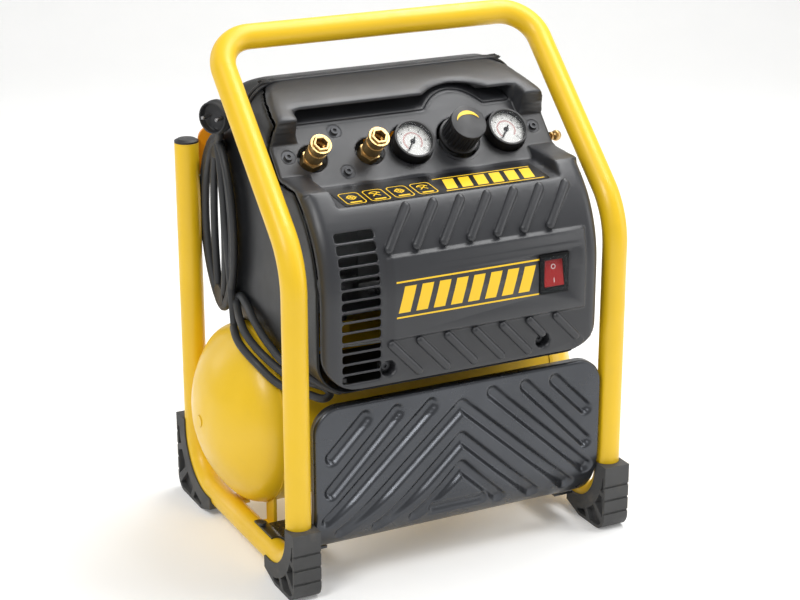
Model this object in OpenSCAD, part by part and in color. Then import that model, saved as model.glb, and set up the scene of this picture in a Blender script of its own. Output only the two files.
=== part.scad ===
// Roll-cage air compressor: a bent-tube cage, a horizontal air tank, and an oil-free pump
// that hides under a two-part cover with a sloped control panel.
// Origin on the floor at the middle of the four feet. +Z is up and the panel faces -Y.

/* [Cage] */
// outside diameter of the cage tube
tube_d = 28.6; // [27:0.1:29]
// half the distance between the left and right legs
leg_x = 200; // [198:0.5:203]
// half the distance between the front and rear legs
leg_y = 151.7; // [150:0.1:153]
// height of the top bar's centre line
bar_z = 584.7; // [580:0.1:590]
// lean of the upper front legs away from upright
lean = 46.2; // [45.5:0.1:47]
// height of the rear legs, without their caps
rear_leg_z = 446.5; // [430:0.5:460]

/* [Tank] */
// outside diameter of the air tank
tank_d = 214; // [211:0.5:215]
// half length of the tank's straight shell
tank_half = 174; // [172:0.5:174]
// height of one domed end
dome_h = 65.5; // [63:0.5:67]

/* [Cover] */
// half width of the front cover
cover_half = 172; // [170:0.5:172]
// slope of the control panel
panel_tilt = 47; // [46.5:0.1:47.5]
// number of slots in the front grille
grille_slots = 14; // [6:1:14]

/* [Instruments] */
// bezel diameter of a pressure gauge
gauge_d = 48; // [44:0.5:50]
// diameter of the regulator knob
knob_d = 42; // [38:0.5:43]
// diameter of a coupler's sleeve
sleeve_d = 24.4; // [23:0.2:25]
// turn of a gauge needle from its rest mark, used to look at the dials
needle_turn = 0; // [0:1:270]

/* [Hidden] */
$fn = 48;
gap = 0.15;
proud = 0.05;
lap = 0.5;
tube_r = tube_d / 2;
tube_wall = 2;
rail_z = 24.3;
bar_y = 55.7;
front_bend = 48;
rear_bend = 65;
lean_bend = 90;
corner_bend = 42;
foot_half = 16.5;
foot_out = 23.5;

tank_r = tank_d / 2;
tank_y = 37;
tank_z = 144.5;
tank_wall = 2.5;
knuckle = 38;
crown = (pow(dome_h, 2) - pow(knuckle, 2) + pow(tank_r - knuckle, 2)) / (2 * (dome_h - knuckle));
port_x = 147;
drain_x = 60;

plate_y = -160.7;
plate_half = 182.3;
plate_top = 218;
plate_bend = 75;
plate_bend_z = 102;
plate_sweep = 58.7;
plate_depth = 14;
plate_t = 2;

face_cy = -23.7;
face_cz = 335;
face_r = 145.3;
seam_r = 130;
edge_r = 15.3;
cover_t = 3;
cover_bottom = 238;
cover_top = 537;
shell_half = cover_half + 2.5;
shell_bottom = 228;
shell_back = 113;
rim_y = 38;
bottom_corner = 40;
top_corner = 48;
face_sweep = 51;
roll_r = 60;
panel_y = -69.1;
panel_z = 438.4;
panel_len = 76.6;
ear_x = 140;
ear_len = 57;
shelf_half = 138;

axis_y = 41;
axis_z = 346;
cyl_x = -82;
throw = 10;
bore_r = 31.75;
deck_z = 278;

manifold_n = -26;
manifold_s = 38;
coupler_x = [-128, -57.8];
coupler_s = 36;
gauge_x = [-5.3, 115];
gauge_s = 38.5;
knob_x = 54.6;
knob_s = 39;
panel_screws = [[-92, 66], [-155.2, 41], [-91.6, 14.5], [153.7, 41]];
face_screws = [[-97, 256], [97, 256]];
switch_x = 107;
switch_z = 335.3;

// ---- shared shapes ----

// Lays a flat outline drawn in Y and Z into the model, extruded along X about x.
module across(x, width) {
    translate([x, 0, 0])
        rotate([90, 0, 90])
            linear_extrude(width, center = true)
                children();
}

// Lays a flat outline drawn in X and Z into the model, extruded along Y from y0 to y1.
module along_y(y0, y1) {
    translate([0, y1, 0])
        rotate([90, 0, 0])
            linear_extrude(y1 - y0)
                children();
}

// A cylinder along X from x0 to x1, centred on (y, z).
module rod_x(x0, x1, y, z, r) {
    translate([x0, y, z])
        rotate([0, 90, 0])
            cylinder(h = x1 - x0, r = r);
}

// A straight round bar between two points.
module bar(a, b, r) {
    v = b - a;
    translate(a)
        rotate([0, acos(v[2] / norm(v)), atan2(v[1], v[0])])
            cylinder(h = norm(v), r = r);
}

// A bent line: straight bars with slightly proud round joints.
module run(points, r) {
    for (i = [0 : len(points) - 2])
        bar(points[i], points[i + 1], r);
    for (i = [1 : len(points) - 2])
        translate(points[i])
            sphere(r = r + 0.06);
}

// A flat capsule of width w from p to q.
module capsule(p, q, w) {
    v = q - p;
    for (c = [p, q])
        translate(c)
            circle(d = w + 2 * proud);
    translate(p)
        rotate(atan2(v[1], v[0]))
            translate([0, -w / 2])
                square([norm(v), w]);
}

// A flat rounded rectangle |x| < half, z0 < z < z1, with its own bottom and top corner radii.
module outline(half, z0, z1, r0, r1) {
    translate([-half, z0 + r0])
        square([2 * half, z1 - z0 - r0 - r1]);
    translate([-half + r0, z0])
        square([2 * (half - r0), r0 + 1]);
    translate([-half + r1, z1 - r1 - 1])
        square([2 * (half - r1), r1 + 1]);
    for (side = [-1, 1]) {
        translate([side * (half - r0), z0 + r0])
            circle(r = r0);
        translate([side * (half - r1), z1 - r1])
            circle(r = r1);
    }
}

// Places children in the panel's frame: x across, y up the slope, z out of the panel.
module at_panel(x, s, n) {
    translate([x, panel_y, panel_z])
        rotate([panel_tilt, 0, 0])
            translate([0, s, n])
                children();
}

// ---- roll cage ----

module tube_section(r_out, r_in) {
    difference() {
        circle(r = r_out);
        if (r_in > 0)
            circle(r = r_in);
    }
}

// A bend's wall is a touch thicker than the straights that it joins.
module bend_section(r_out, r_in) {
    tube_section(r_out + proud, r_in > 0 ? r_in - proud : 0);
}

// A straight stretch of one side, from (y, z) over a length, tilted back from upright.
module side_straight(y, z, length, tilt, r_out, r_in) {
    translate([leg_x, y, z])
        rotate([-tilt, 0, 0])
            translate([0, 0, -lap])
                linear_extrude(length + 2 * lap)
                    tube_section(r_out, r_in);
}

// A bend of one side in the Y-Z plane.
module side_bend(y, z, radius, start, sweep, r_out, r_in) {
    translate([leg_x, y, z])
        rotate([90, 0, 90])
            rotate([0, 0, start])
                rotate_extrude(angle = sweep)
                    translate([radius, 0])
                        bend_section(r_out, r_in);
}

lean_knee_z = bar_z - (leg_y + bar_y) / tan(lean);
lean_y0 = -leg_y + lean_bend * (1 - cos(lean));
lean_z0 = lean_knee_z - lean_bend * tan(lean / 2) + lean_bend * sin(lean);
lean_len = (bar_y - lean_y0) / sin(lean) - corner_bend;

// Right half of the cage, from the rear leg to the middle of the top bar.
module cage_side(r_out, r_in) {
    rail_y0 = -leg_y + front_bend;
    rail_y1 = leg_y - rear_bend;
    rear_rise = rear_leg_z - rail_z - rear_bend;
    side_straight(leg_y, rail_z + rear_bend, rear_rise - lap, 0, r_out, r_in);
    side_bend(rail_y1, rail_z + rear_bend, rear_bend, 270, 90, r_out, r_in);
    side_straight(rail_y0, rail_z, rail_y1 - rail_y0, 90, r_out, r_in);
    side_bend(rail_y0, rail_z + front_bend, front_bend, 180, 90, r_out, r_in);
    leg_top = lean_knee_z - lean_bend * tan(lean / 2);
    side_straight(-leg_y, rail_z + front_bend, leg_top - rail_z - front_bend, 0, r_out, r_in);
    side_bend(-leg_y + lean_bend, leg_top, lean_bend, 180 - lean, lean, r_out, r_in);
    side_straight(lean_y0, lean_z0, lean_len, lean, r_out, r_in);
    bar_corner(r_out, r_in);
    translate([0, bar_y, bar_z])
        rotate([0, 90, 0])
            linear_extrude(leg_x - corner_bend + lap)
                tube_section(r_out, r_in);
}

// The bend from the leaning leg into the top bar.
module bar_corner(r_out, r_in) {
    translate([leg_x, bar_y - corner_bend * sin(lean), bar_z - corner_bend * cos(lean)])
        rotate([-lean, 0, 0])
            translate([-corner_bend, 0, 0])
                rotate([90, 0, 0])
                    rotate_extrude(angle = 90)
                        translate([corner_bend, 0])
                            bend_section(r_out, r_in);
}

module both_sides() {
    children();
    mirror([1, 0, 0])
        children();
}

module roll_cage() {
    color("gold")
        both_sides()
            cage_side(tube_r, tube_r - tube_wall);
}

// Pressed sheet between the rear legs, with rounded shoulders.
module rear_brace() {
    half = leg_x - tube_r - 0.2;
    color("orange")
        difference() {
            along_y(leg_y - 1.5, leg_y + 1.5)
                outline(half, 404, 462, 3, 14);
            along_y(leg_y - 2, leg_y + 2)
                for (x = [-110, -37, 37, 110])
                    capsule([x - 20, 433], [x + 20, 433], 16);
        }
}

module tube_caps() {
    color("dimgray")
        both_sides()
            translate([leg_x, leg_y, 0]) {
                translate([0, 0, rear_leg_z + gap])
                    cylinder(h = 2, r = tube_r);
                translate([0, 0, rear_leg_z + gap + 2])
                    cylinder(h = 2.2, r1 = tube_r, r2 = tube_r - 4);
                translate([0, 0, rear_leg_z - 16])
                    cylinder(h = 17, r = tube_r - tube_wall - gap);
            }
}

// ---- feet ----

// How far a foot reaches out past its leg's axis: the rear ones a little further.
function foot_reach(bend) = bend == front_bend ? foot_out : foot_out + 3.1;

// Side outline of a corner foot, wrapped round the outside of a bend.
module foot_outline(bend, inset) {
    cy = -leg_y + bend;
    face = -leg_y - foot_reach(bend) + inset;
    low_r = 18 - inset;
    difference() {
        union() {
            translate([face, 18])
                square([cy - face, rail_z + bend - 8 - inset]);
            translate([face + low_r, 18])
                circle(r = low_r);
            polygon([[face + low_r, inset], [cy - 17, inset], [cy + 12 - inset, 10 + inset],
                     [cy + 12 - inset, rail_z], [cy, rail_z + 16], [face + low_r, 40]]);
        }
        translate([cy, rail_z + bend])
            circle(r = bend);
        translate([cy, rail_z])
            square([bend, bend]);
        translate([-leg_y, rail_z + bend])
            square([bend + 1, 20]);
    }
}

// Side pockets between the foot's ribs.
module foot_pockets(bend) {
    cy = -leg_y + bend;
    reach = 150;
    difference() {
        intersection() {
            foot_outline(bend, 4);
            translate([cy, rail_z + bend])
                for (a = [184 : 20 : 244])
                    polygon([[0, 0], reach * [cos(a), sin(a)], reach * [cos(a + 15), sin(a + 15)]]);
        }
        translate([cy, rail_z + bend])
            circle(r = bend + tube_r + 3);
    }
}

// Front right foot; the others are mirror images.
module foot(bend) {
    difference() {
        across(leg_x, 2 * foot_half)
            foot_outline(bend, 0);
        for (side = [-1, 1])
            across(leg_x + side * foot_half, 14)
                foot_pockets(bend);
        for (z = [22 : 17 : rail_z + bend - 6])
            translate([leg_x - foot_half - 1, -leg_y - foot_reach(bend) - 1, z])
                cube([2 * foot_half + 2, 2.5, 3]);
        if (bend == front_bend)
            cage_side(tube_r + gap, 0);
        else
            mirror([0, 1, 0])
                cage_side(tube_r + gap, 0);
    }
}

module front_left_foot() {
    color("gray")
        mirror([1, 0, 0])
            foot(front_bend);
}

module front_right_foot() {
    color("gray")
        foot(front_bend);
}

module rear_left_foot() {
    color("gray")
        mirror([1, 0, 0])
            mirror([0, 1, 0])
                foot(rear_bend);
}

module rear_right_foot() {
    color("gray")
        mirror([0, 1, 0])
            foot(rear_bend);
}

// ---- kick plate ----

// The plate's side outline between two depths behind its front surface.
module plate_profile(d0, d1, sweep) {
    translate([plate_y + d0, plate_bend_z - lap])
        square([d1 - d0, plate_top - plate_bend_z + lap]);
    reach = 2 * plate_bend;
    translate([plate_y + plate_bend, plate_bend_z])
        intersection() {
            difference() {
                circle(r = plate_bend - d0 + proud);
                circle(r = plate_bend - d1 - proud);
            }
            polygon([[0, 0], [-reach, 0], [-reach, -reach * tan(sweep / 2)],
                     reach * [-cos(sweep), -sin(sweep)]]);
        }
}

// One half of the embossed chevrons, mirrored to make the other.
module plate_channels() {
    w = 11;
    capsule([-121, 200], [-162, 159], w);
    capsule([-82, 199], [-162, 118], w);
    capsule([-39, 199], [-160, 82], w);
    capsule([-3, 189], [-146, 66], w);
    capsule([-3, 149], [-100, 64], w);
    capsule([-3, 114], [-56, 68], w);
}

module kick_plate() {
    color("dimgray")
        difference() {
            intersection() {
                across(0, 2 * plate_half)
                    plate_profile(0, plate_depth, plate_sweep);
                along_y(plate_y - 1, 0)
                    outline(plate_half, 20, plate_top, 3, 30);
            }
            intersection() {
                across(0, 2 * (plate_half - plate_t))
                    plate_profile(plate_t, plate_depth + 1, plate_sweep - 2);
                along_y(plate_y - 1, 0)
                    outline(plate_half - plate_t, 20, plate_top - plate_t, 3, 28);
            }
            intersection() {
                along_y(plate_y - 1, plate_y + 1)
                    both_sides()
                        plate_channels();
                translate([-plate_half, plate_y - 2, plate_bend_z + 1])
                    cube([2 * plate_half, 4, plate_top]);
            }
        }
}

// Saddles that hold the kick plate's lower edge to the side rails.
module rail_clips() {
    color("black")
        both_sides()
            difference() {
                union() {
                    translate([leg_x, -85, rail_z])
                        rotate([-90, 0, 0])
                            cylinder(h = 50, r = tube_r + 2.2);
                    translate([150, -85, rail_z + 6])
                        cube([leg_x - 150, 50, 3]);
                    translate([150, -118, rail_z + 6])
                        cube([25, 40, 3]);
                }
                translate([leg_x, -90, rail_z])
                    rotate([-90, 0, 0])
                        cylinder(h = 60, r = tube_r + gap);
                translate([leg_x - 30, -90, rail_z - 30])
                    cube([60, 60, 27]);
                translate([leg_x + 4, -90, rail_z - 30])
                    cube([60, 60, 60]);
            }
}

// A screw with its washer, standing on z = 0 with its shank below.
module washer_screw() {
    difference() {
        union() {
            cylinder(h = 1.1, r = 7.9);
            cylinder(h = 4.2, r = 4.6);
            translate([0, 0, -8])
                cylinder(h = 8.5, r = 2.4);
        }
        translate([0, 0, 2.2])
            cylinder(h = 3, r = 2.3, $fn = 6);
    }
}

module outer_screws() {
    color("silver") {
        both_sides()
            translate([leg_x, -50, rail_z + tube_r + 2.2 + gap])
                difference() {
                    cylinder(h = 3, r = 4.5);
                    translate([0, 0, 1.5])
                        cylinder(h = 3, r = 2, $fn = 6);
                }
        for (p = panel_screws)
            at_panel(p[0], p[1], -1.1)
                washer_screw();
        for (p = face_screws)
            translate([p[0], face_y + 1.3, p[1]])
                rotate([90, 0, 0])
                    washer_screw();
    }
}

// ---- air tank ----

// Half section of the tank: radius across, distance along its axis up, for a given inset.
module tank_half_section(inset) {
    r = tank_r - inset;
    k = knuckle - inset;
    c = crown - inset;
    top = tank_half + dome_h - inset;
    split = asin((tank_r - knuckle) / (crown - knuckle));
    square([r, tank_half]);
    intersection() {
        translate([0, top - c])
            circle(r = c);
        polygon([[0, tank_half - 1], [0, top + 1], [c * sin(split), top + 1],
                 [c * sin(split), top - c + c * cos(split)], [tank_r - knuckle, tank_half - 1]]);
    }
    intersection() {
        translate([tank_r - knuckle, tank_half])
            circle(r = k);
        polygon([[tank_r - knuckle, tank_half - 1], [tank_r + 1, tank_half - 1],
                 [tank_r + 1, top], [c * sin(split), top],
                 [c * sin(split), top - c + c * cos(split)]]);
    }
}

// Solid of the tank's outside or inside surface.
module tank_body(inset) {
    translate([0, tank_y, tank_z])
        rotate([0, 90, 0]) {
            rotate_extrude()
                tank_half_section(inset);
            mirror([0, 0, 1])
                rotate_extrude()
                    tank_half_section(inset);
        }
}

module plug_place() {
    translate([-152, 64, 0])
        children();
}

module air_tank() {
    color("gold")
        difference() {
            union() {
                tank_body(0);
                for (side = [-1, 1]) {
                    rod_x(side * tank_half - 2.5, side * tank_half + 2.5, tank_y, tank_z, tank_r + 0.8);
                    rod_x(side * (tank_half + dome_h - 2) - 3, side * (tank_half + dome_h - 2) + 3,
                          tank_y, tank_z, 7);
                    translate([side * port_x, tank_y, tank_z + 90])
                        cylinder(h = tank_r - 90 + 4, r = 13);
                }
                plug_place()
                    translate([0, 0, 225])
                        cylinder(h = 26, r = 10);
                translate([drain_x, tank_y, tank_z - tank_r - 3])
                    cylinder(h = 15, r = 11);
            }
            tank_body(tank_wall);
            for (side = [-1, 1])
                translate([side * port_x, tank_y, tank_z + 80])
                    cylinder(h = 60, r = 6);
            plug_place()
                translate([0, 0, 215])
                    cylinder(h = 40, r = 5);
            translate([drain_x, tank_y, tank_z - tank_r - 10])
                cylinder(h = 30, r = 5);
        }
}

// Four gussets that carry the tank on the side rails.
module tank_brackets() {
    inner = leg_x - 26;
    color("orange")
        both_sides()
            for (y = [-32, 50])
                difference() {
                    union() {
                        translate([inner, y, rail_z - 3])
                            cube([4, 22, 110]);
                        translate([inner, y, rail_z - 3])
                            cube([leg_x - inner, 22, 5]);
                    }
                    rod_x(-220, 220, tank_y, tank_z, tank_r + 1);
                    translate([leg_x, y - 1, rail_z])
                        rotate([-90, 0, 0])
                            cylinder(h = 30, r = tube_r + gap);
                    translate([leg_x - tube_r, y - 1, rail_z - 10])
                        cube([30, 30, 30]);
                    translate([inner - 1, y - 1, tank_z - 40])
                        cube([6, 24, 80]);
                }
}

module tank_plug() {
    color("gray")
        plug_place() {
            translate([0, 0, 238])
                cylinder(h = 14, r = 5 - gap);
            translate([0, 0, 251 + gap])
                cylinder(h = 2, r = 10);
            translate([0, 0, 253])
                cylinder(h = 5, r = 8.5, $fn = 6);
        }
}

module drain_valve() {
    top = tank_z - tank_r - 3 - gap;
    color("goldenrod")
        translate([drain_x, tank_y, 0])
            difference() {
                union() {
                    translate([0, 0, top - 8])
                        cylinder(h = 8, r = 8.5, $fn = 6);
                    translate([0, 0, top - 1])
                        cylinder(h = 14, r = 5 - gap);
                    translate([0, 0, top - 15])
                        cylinder(h = 8, r = 6);
                }
                translate([0, 0, top - 16])
                    cylinder(h = 32, r = 2.5);
            }
}

module drain_knob() {
    top = tank_z - tank_r - 3 - gap;
    color("silver")
        translate([drain_x, tank_y, top - 15 - gap]) {
            cylinder(h = 8, r = 2.5 - gap);
            translate([0, 0, -6])
                cylinder(h = 6, r = 5);
            translate([-11, -2, -6])
                cube([22, 4, 5]);
        }
}

// ---- air lines ----

valve_r = 7.5;

module check_valve() {
    base = tank_z + tank_r + 4 + gap;
    color("goldenrod")
        translate([-port_x, tank_y, base]) {
            translate([0, 0, -18])
                cylinder(h = 19, r = 6 - gap);
            cylinder(h = 9, r = 11, $fn = 6);
            translate([0, 0, 8])
                cylinder(h = 16, r = valve_r);
        }
}

head_port_z = 470;

module delivery_pipe() {
    x = -port_x;
    bend = 14;
    top = tank_z + tank_r + 28 + 2 * gap;
    color("silver") {
        translate([x, tank_y, top])
            cylinder(h = head_port_z - bend - top, r = 4);
        translate([x + bend, tank_y, head_port_z - bend])
            rotate([90, 0, 0])
                rotate([0, 0, 90])
                    rotate_extrude(angle = 90)
                        translate([bend, 0])
                            circle(r = 4);
        rod_x(x + bend, cyl_x - 39 - gap, tank_y, head_port_z, 4);
        translate([x, tank_y, top])
            cylinder(h = 8, r = 8, $fn = 6);
        rod_x(cyl_x - 49, cyl_x - 39 - gap, tank_y, head_port_z, 7);
    }
}

module unloader_tube() {
    color("white")
        run([[-port_x, tank_y - valve_r - gap, 268], [-port_x, -95, 262], [104, -120, 262],
             [104, -130, 293.8]], 2);
}

module outlet_pipe() {
    color("silver") {
        run([[port_x, tank_y, 258], [port_x, tank_y, 400], [136, 4, 422], [135, -15.9, 440.4]], 4.5);
        translate([port_x, tank_y, tank_z + tank_r + 4 + gap])
            cylinder(h = 8, r = 11, $fn = 6);
        translate([port_x, tank_y, tank_z + tank_r - 12])
            cylinder(h = 18, r = 6 - gap);
    }
}

// ---- pump ----

module pump_saddles() {
    color("orange")
        for (x = [-85, 85])
            difference() {
                union() {
                    translate([x - 15, axis_y - 66, deck_z - 19.2])
                        cube([30, 132, 3]);
                    for (y = [-55, 52])
                        translate([x - 15, axis_y + y, 220])
                            cube([30, 3, deck_z - 237]);
                }
                rod_x(x - 20, x + 20, tank_y, tank_z, tank_r + gap);
            }
}

module vibration_mounts() {
    color("black")
        for (x = [-85, 85], y = [-55, 55])
            translate([x, axis_y + y, deck_z - 16])
                cylinder(h = 16 - gap, r = 10);
}

module pump_deck() {
    color("silver") {
        translate([-115, -50, deck_z])
            cube([230, 153, 3]);
        translate([-106, axis_y - 30, deck_z + 2])
            cube([8, 60, 13]);
        for (x = [-54, 46])
            translate([x, axis_y - 30, deck_z + 2])
                cube([8, 60, axis_z - 50 - deck_z - 2 - gap]);
    }
}

// Square housing outline with rounded corners, pierced for the four long bolts.
module motor_square(x0, x1) {
    difference() {
        intersection() {
            translate([x0, axis_y - 50, axis_z - 50])
                cube([x1 - x0, 100, 100]);
            rod_x(x0 - 1, x1 + 1, axis_y, axis_z, 66);
        }
        for (y = [-42, 42], z = [-42, 42])
            rod_x(x0 - 2, x1 + 2, axis_y + y, axis_z + z, 2.7);
    }
}

module crankcase() {
    color("lightgray")
        difference() {
            union() {
                rod_x(-108, -50, axis_y, axis_z, 50);
                motor_square(-56, -30.2);
                translate([cyl_x - 37, axis_y - 37, axis_z])
                    cube([74, 74, 40]);
            }
            rod_x(-103, -58, axis_y, axis_z, 45);
            rod_x(-50, -30, axis_y, axis_z, 49);
            rod_x(-59, -49, axis_y, axis_z, 16);
            translate([cyl_x, axis_y, axis_z])
                cylinder(h = 50, r = 33);
            translate([cyl_x, axis_y, axis_z + 40])
                cylinder(h = 20, r = 40.5);
            for (x = [-32, 32], y = [-32, 32])
                translate([cyl_x + x, axis_y + y, axis_z + 28])
                    cylinder(h = 40, r = 2.7);
            for (y = [-42, 42], z = [-42, 42])
                rod_x(-62, -30, axis_y + y, axis_z + z, 2.7);
        }
}

module motor_stator() {
    color("darkgray")
        difference() {
            motor_square(-30 + gap, 30 - gap);
            rod_x(-31, 31, axis_y, axis_z, 30);
            for (a = [0 : 30 : 330])
                translate([0, axis_y, axis_z])
                    rotate([a, 0, 0])
                        translate([-31, -3, 31])
                            cube([62, 6, 12]);
        }
}

module motor_windings() {
    color("peru")
        for (side = [-1, 1])
            translate([side * 38.5, axis_y, axis_z])
                rotate([0, 90, 0])
                    rotate_extrude()
                        translate([33, -7.5])
                            square([12, 15]);
}

module motor_end_bell() {
    color("lightgray")
        difference() {
            motor_square(30, 58);
            rod_x(29, 50, axis_y, axis_z, 49);
            rod_x(49, 60, axis_y, axis_z, 16);
            for (a = [45 : 45 : 360])
                translate([49, axis_y + 32 * cos(a), axis_z + 32 * sin(a)])
                    rotate([0, 90, 0])
                        cylinder(h = 12, r = 7);
        }
}

module motor_bolts() {
    color("silver")
        for (y = [-42, 42], z = [-42, 42]) {
            rod_x(-60, 60, axis_y + y, axis_z + z, 2.5);
            rod_x(58 + gap, 62, axis_y + y, axis_z + z, 4.5);
        }
}

module shaft_bearings() {
    color("silver")
        for (x = [-58, 50])
            difference() {
                rod_x(x, x + 8 - gap, axis_y, axis_z, 16 - gap);
                rod_x(x - 1, x + 9, axis_y, axis_z, 8 + gap);
            }
}

module motor_rotor() {
    color("gray")
        difference() {
            rod_x(-30, 30, axis_y, axis_z, 29.3);
            rod_x(-31, 31, axis_y, axis_z, 8 + gap);
        }
}

// Shaft, web with its counterweight, and the crank pin that stops just short of the rod.
module crankshaft() {
    color("dimgray") {
        rod_x(-65, 98, axis_y, axis_z, 8);
        rod_x(-72, -64, axis_y, axis_z, 22);
        rod_x(-77.7, -71, axis_y, axis_z + throw, 6);
        intersection() {
            rod_x(-71, -65, axis_y, axis_z, 38);
            translate([-72, axis_y - 40, axis_z - 40])
                cube([10, 80, 32]);
        }
    }
}

module cooling_fan() {
    color("black")
        difference() {
            intersection() {
                union() {
                    rod_x(80, 96, axis_y, axis_z, 14);
                    for (a = [0 : 45 : 315])
                        translate([88, axis_y, axis_z])
                            rotate([a, 0, 0])
                                rotate([0, 0, 35])
                                    translate([-1, -13, 10])
                                        cube([2, 26, 50]);
                }
                rod_x(80, 96, axis_y, axis_z, 56);
            }
            rod_x(79, 97, axis_y, axis_z, 8 + gap);
        }
}

// Wobble piston and its rod in one piece, at the top of the stroke.
module connecting_rod() {
    pin_z = axis_z + throw;
    color("silver")
        difference() {
            union() {
                translate([cyl_x, axis_y, pin_z + 82])
                    cylinder(h = 8, r = bore_r - 0.45);
                translate([cyl_x - 4, axis_y - 6, pin_z + 12])
                    cube([8, 12, 72]);
                rod_x(cyl_x - 4, cyl_x + 4, axis_y, pin_z, 16);
            }
            rod_x(cyl_x - 5, cyl_x + 5, axis_y, pin_z, 9);
            difference() {
                translate([cyl_x, axis_y, pin_z + 85])
                    cylinder(h = 2.4, r = bore_r + 1);
                translate([cyl_x, axis_y, pin_z + 84])
                    cylinder(h = 5, r = bore_r - 3);
            }
        }
}

module piston_ring() {
    color("white")
        translate([cyl_x, axis_y, axis_z + throw + 85 + gap])
            difference() {
                cylinder(h = 2.1, r = bore_r - 0.2);
                translate([0, 0, -1])
                    cylinder(h = 5, r = bore_r - 3 + gap);
            }
}

barrel_z0 = axis_z + 40 + gap;
barrel_z1 = axis_z + throw + 93;

module cylinder_barrel() {
    color("silver")
        translate([cyl_x, axis_y, 0])
            difference() {
                union() {
                    translate([0, 0, barrel_z0])
                        cylinder(h = barrel_z1 - barrel_z0, r = bore_r + 3.5);
                    for (z = [barrel_z0 + 6 : 8 : barrel_z1 - 6])
                        translate([0, 0, z])
                            cylinder(h = 2.5, r = 40);
                }
                translate([0, 0, barrel_z0 - 1])
                    cylinder(h = 80, r = bore_r);
                for (x = [-32, 32], y = [-32, 32])
                    translate([x, y, barrel_z0 - 1])
                        cylinder(h = 80, r = 4);
            }
}

module bolted_square(z, h) {
    translate([cyl_x, axis_y, z])
        difference() {
            translate([-39, -39, 0])
                cube([78, 78, h]);
            for (x = [-32, 32], y = [-32, 32])
                translate([x, y, -1])
                    cylinder(h = h + 2, r = 2.7);
        }
}

module valve_plate() {
    color("gray")
        difference() {
            bolted_square(barrel_z1 + gap, 5);
            for (x = [-15, 15])
                translate([cyl_x + x, axis_y, barrel_z1 - 1])
                    cylinder(h = 8, r = 4);
        }
}

head_z0 = barrel_z1 + 5 + 2 * gap;

module cylinder_head() {
    color("lightgray")
        difference() {
            bolted_square(head_z0, 28);
            for (x = [-35, 3])
                translate([cyl_x + x, axis_y - 22, head_z0 - 1])
                    cube([32, 44, 20]);
            for (y = [-28 : 8 : 28])
                translate([cyl_x - 25, axis_y + y - 2, head_z0 + 22])
                    cube([50, 4, 8]);
        }
}

module head_bolts() {
    color("silver")
        for (x = [-32, 32], y = [-32, 32])
            translate([cyl_x + x, axis_y + y, axis_z + 30]) {
                cylinder(h = head_z0 + 29 - axis_z - 30, r = 2.5);
                translate([0, 0, head_z0 + 28 + gap - axis_z - 30])
                    cylinder(h = 4, r = 4.5, $fn = 6);
            }
}

module intake_filter() {
    color("black")
        translate([cyl_x + 20, axis_y, head_z0 + 28 + gap]) {
            cylinder(h = 4, r = 8);
            translate([0, 0, 4])
                cylinder(h = 24, r = 17);
        }
}

module start_capacitor() {
    color("black") {
        rod_x(-20, 50, -29, deck_z + 3 + gap + 16, 16);
        rod_x(50, 58, -29, deck_z + 3 + gap + 16, 10);
    }
}

// ---- control gear ----

module pressure_switch() {
    color("black") {
        translate([78, -150, 296])
            cube([58, 38, 80]);
        translate([switch_x - 10, -160, switch_z - 15])
            cube([20, 12, 30]);
    }
}

face_y = face_cy - face_r;
switch_face = face_y - 1.5;

module switch_bezel() {
    color("dimgray")
        difference() {
            union() {
                translate([switch_x - 19, switch_face - gap - 2.5, switch_z - 22.5])
                    cube([38, 2.5, 45]);
                translate([switch_x - 14.8, switch_face - 1, switch_z - 17.8])
                    cube([29.6, 14, 35.6]);
            }
            translate([switch_x - 12.5, switch_face - 5, switch_z - 16.1])
                cube([25, 30, 32.2]);
            for (side = [-1, 1])
                rod_x(switch_x + side * 13.3 - 0.9, switch_x + side * 13.3 + 0.9,
                      switch_face + 4, switch_z, 1.7);
        }
}

// Two-way rocker; its lower half stands proud at rest.
module rocker_switch() {
    w = 24.6;
    color("red") {
        across(switch_x, w)
            polygon([[switch_face - 4, switch_z - 14.6], [switch_face - 1.2, switch_z],
                     [switch_face + 1.4, switch_z + 14.8], [switch_face + 6.5, switch_z + 6],
                     [switch_face + 6.5, switch_z - 6]]);
        rod_x(switch_x - 13.4, switch_x + 13.4, switch_face + 4, switch_z, 1.5);
    }
}

// Clear flexible boot over the rocker.
module switch_cover() {
    y0 = switch_face - 2.5 - 2 * gap;
    color("white")
        difference() {
            translate([switch_x - 17, y0 - 5, switch_z - 20])
                cube([34, 5, 40]);
            translate([switch_x - 15.8, y0 - 3.8, switch_z - 18.8])
                cube([31.6, 5, 37.6]);
        }
}

module stem(n0, n1, r) {
    translate([0, 0, n0])
        cylinder(h = n1 - n0, r = r);
}

module air_manifold() {
    top = manifold_n + 10;
    color("silver")
        difference() {
            at_panel(0, manifold_s - 10, manifold_n - 10)
                translate([-146, 0, 0])
                    cube([292, 20, 20]);
            for (x = concat(coupler_x, gauge_x, [knob_x]))
                at_panel(x, manifold_s, top)
                    stem(-7, 1, 5.2);
            at_panel(146, manifold_s, manifold_n)
                rotate([0, -90, 0])
                    stem(-1, 8, 5.2);
        }
}

module safety_valve() {
    color("goldenrod")
        at_panel(146, manifold_s, manifold_n)
            rotate([0, 90, 0])
                difference() {
                    union() {
                        stem(-7, 1, 5);
                        stem(gap, 10, 8);
                        stem(9, 38, 6);
                    }
                    stem(15, 39, 3);
                }
}

module safety_valve_knob() {
    color("goldenrod")
        at_panel(146, manifold_s, manifold_n)
            rotate([0, 90, 0]) {
                stem(22, 45, 2.6);
                stem(42, 44, 5);
                translate([0, 0, 50])
                    sphere(r = 6.5);
            }
}

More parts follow.
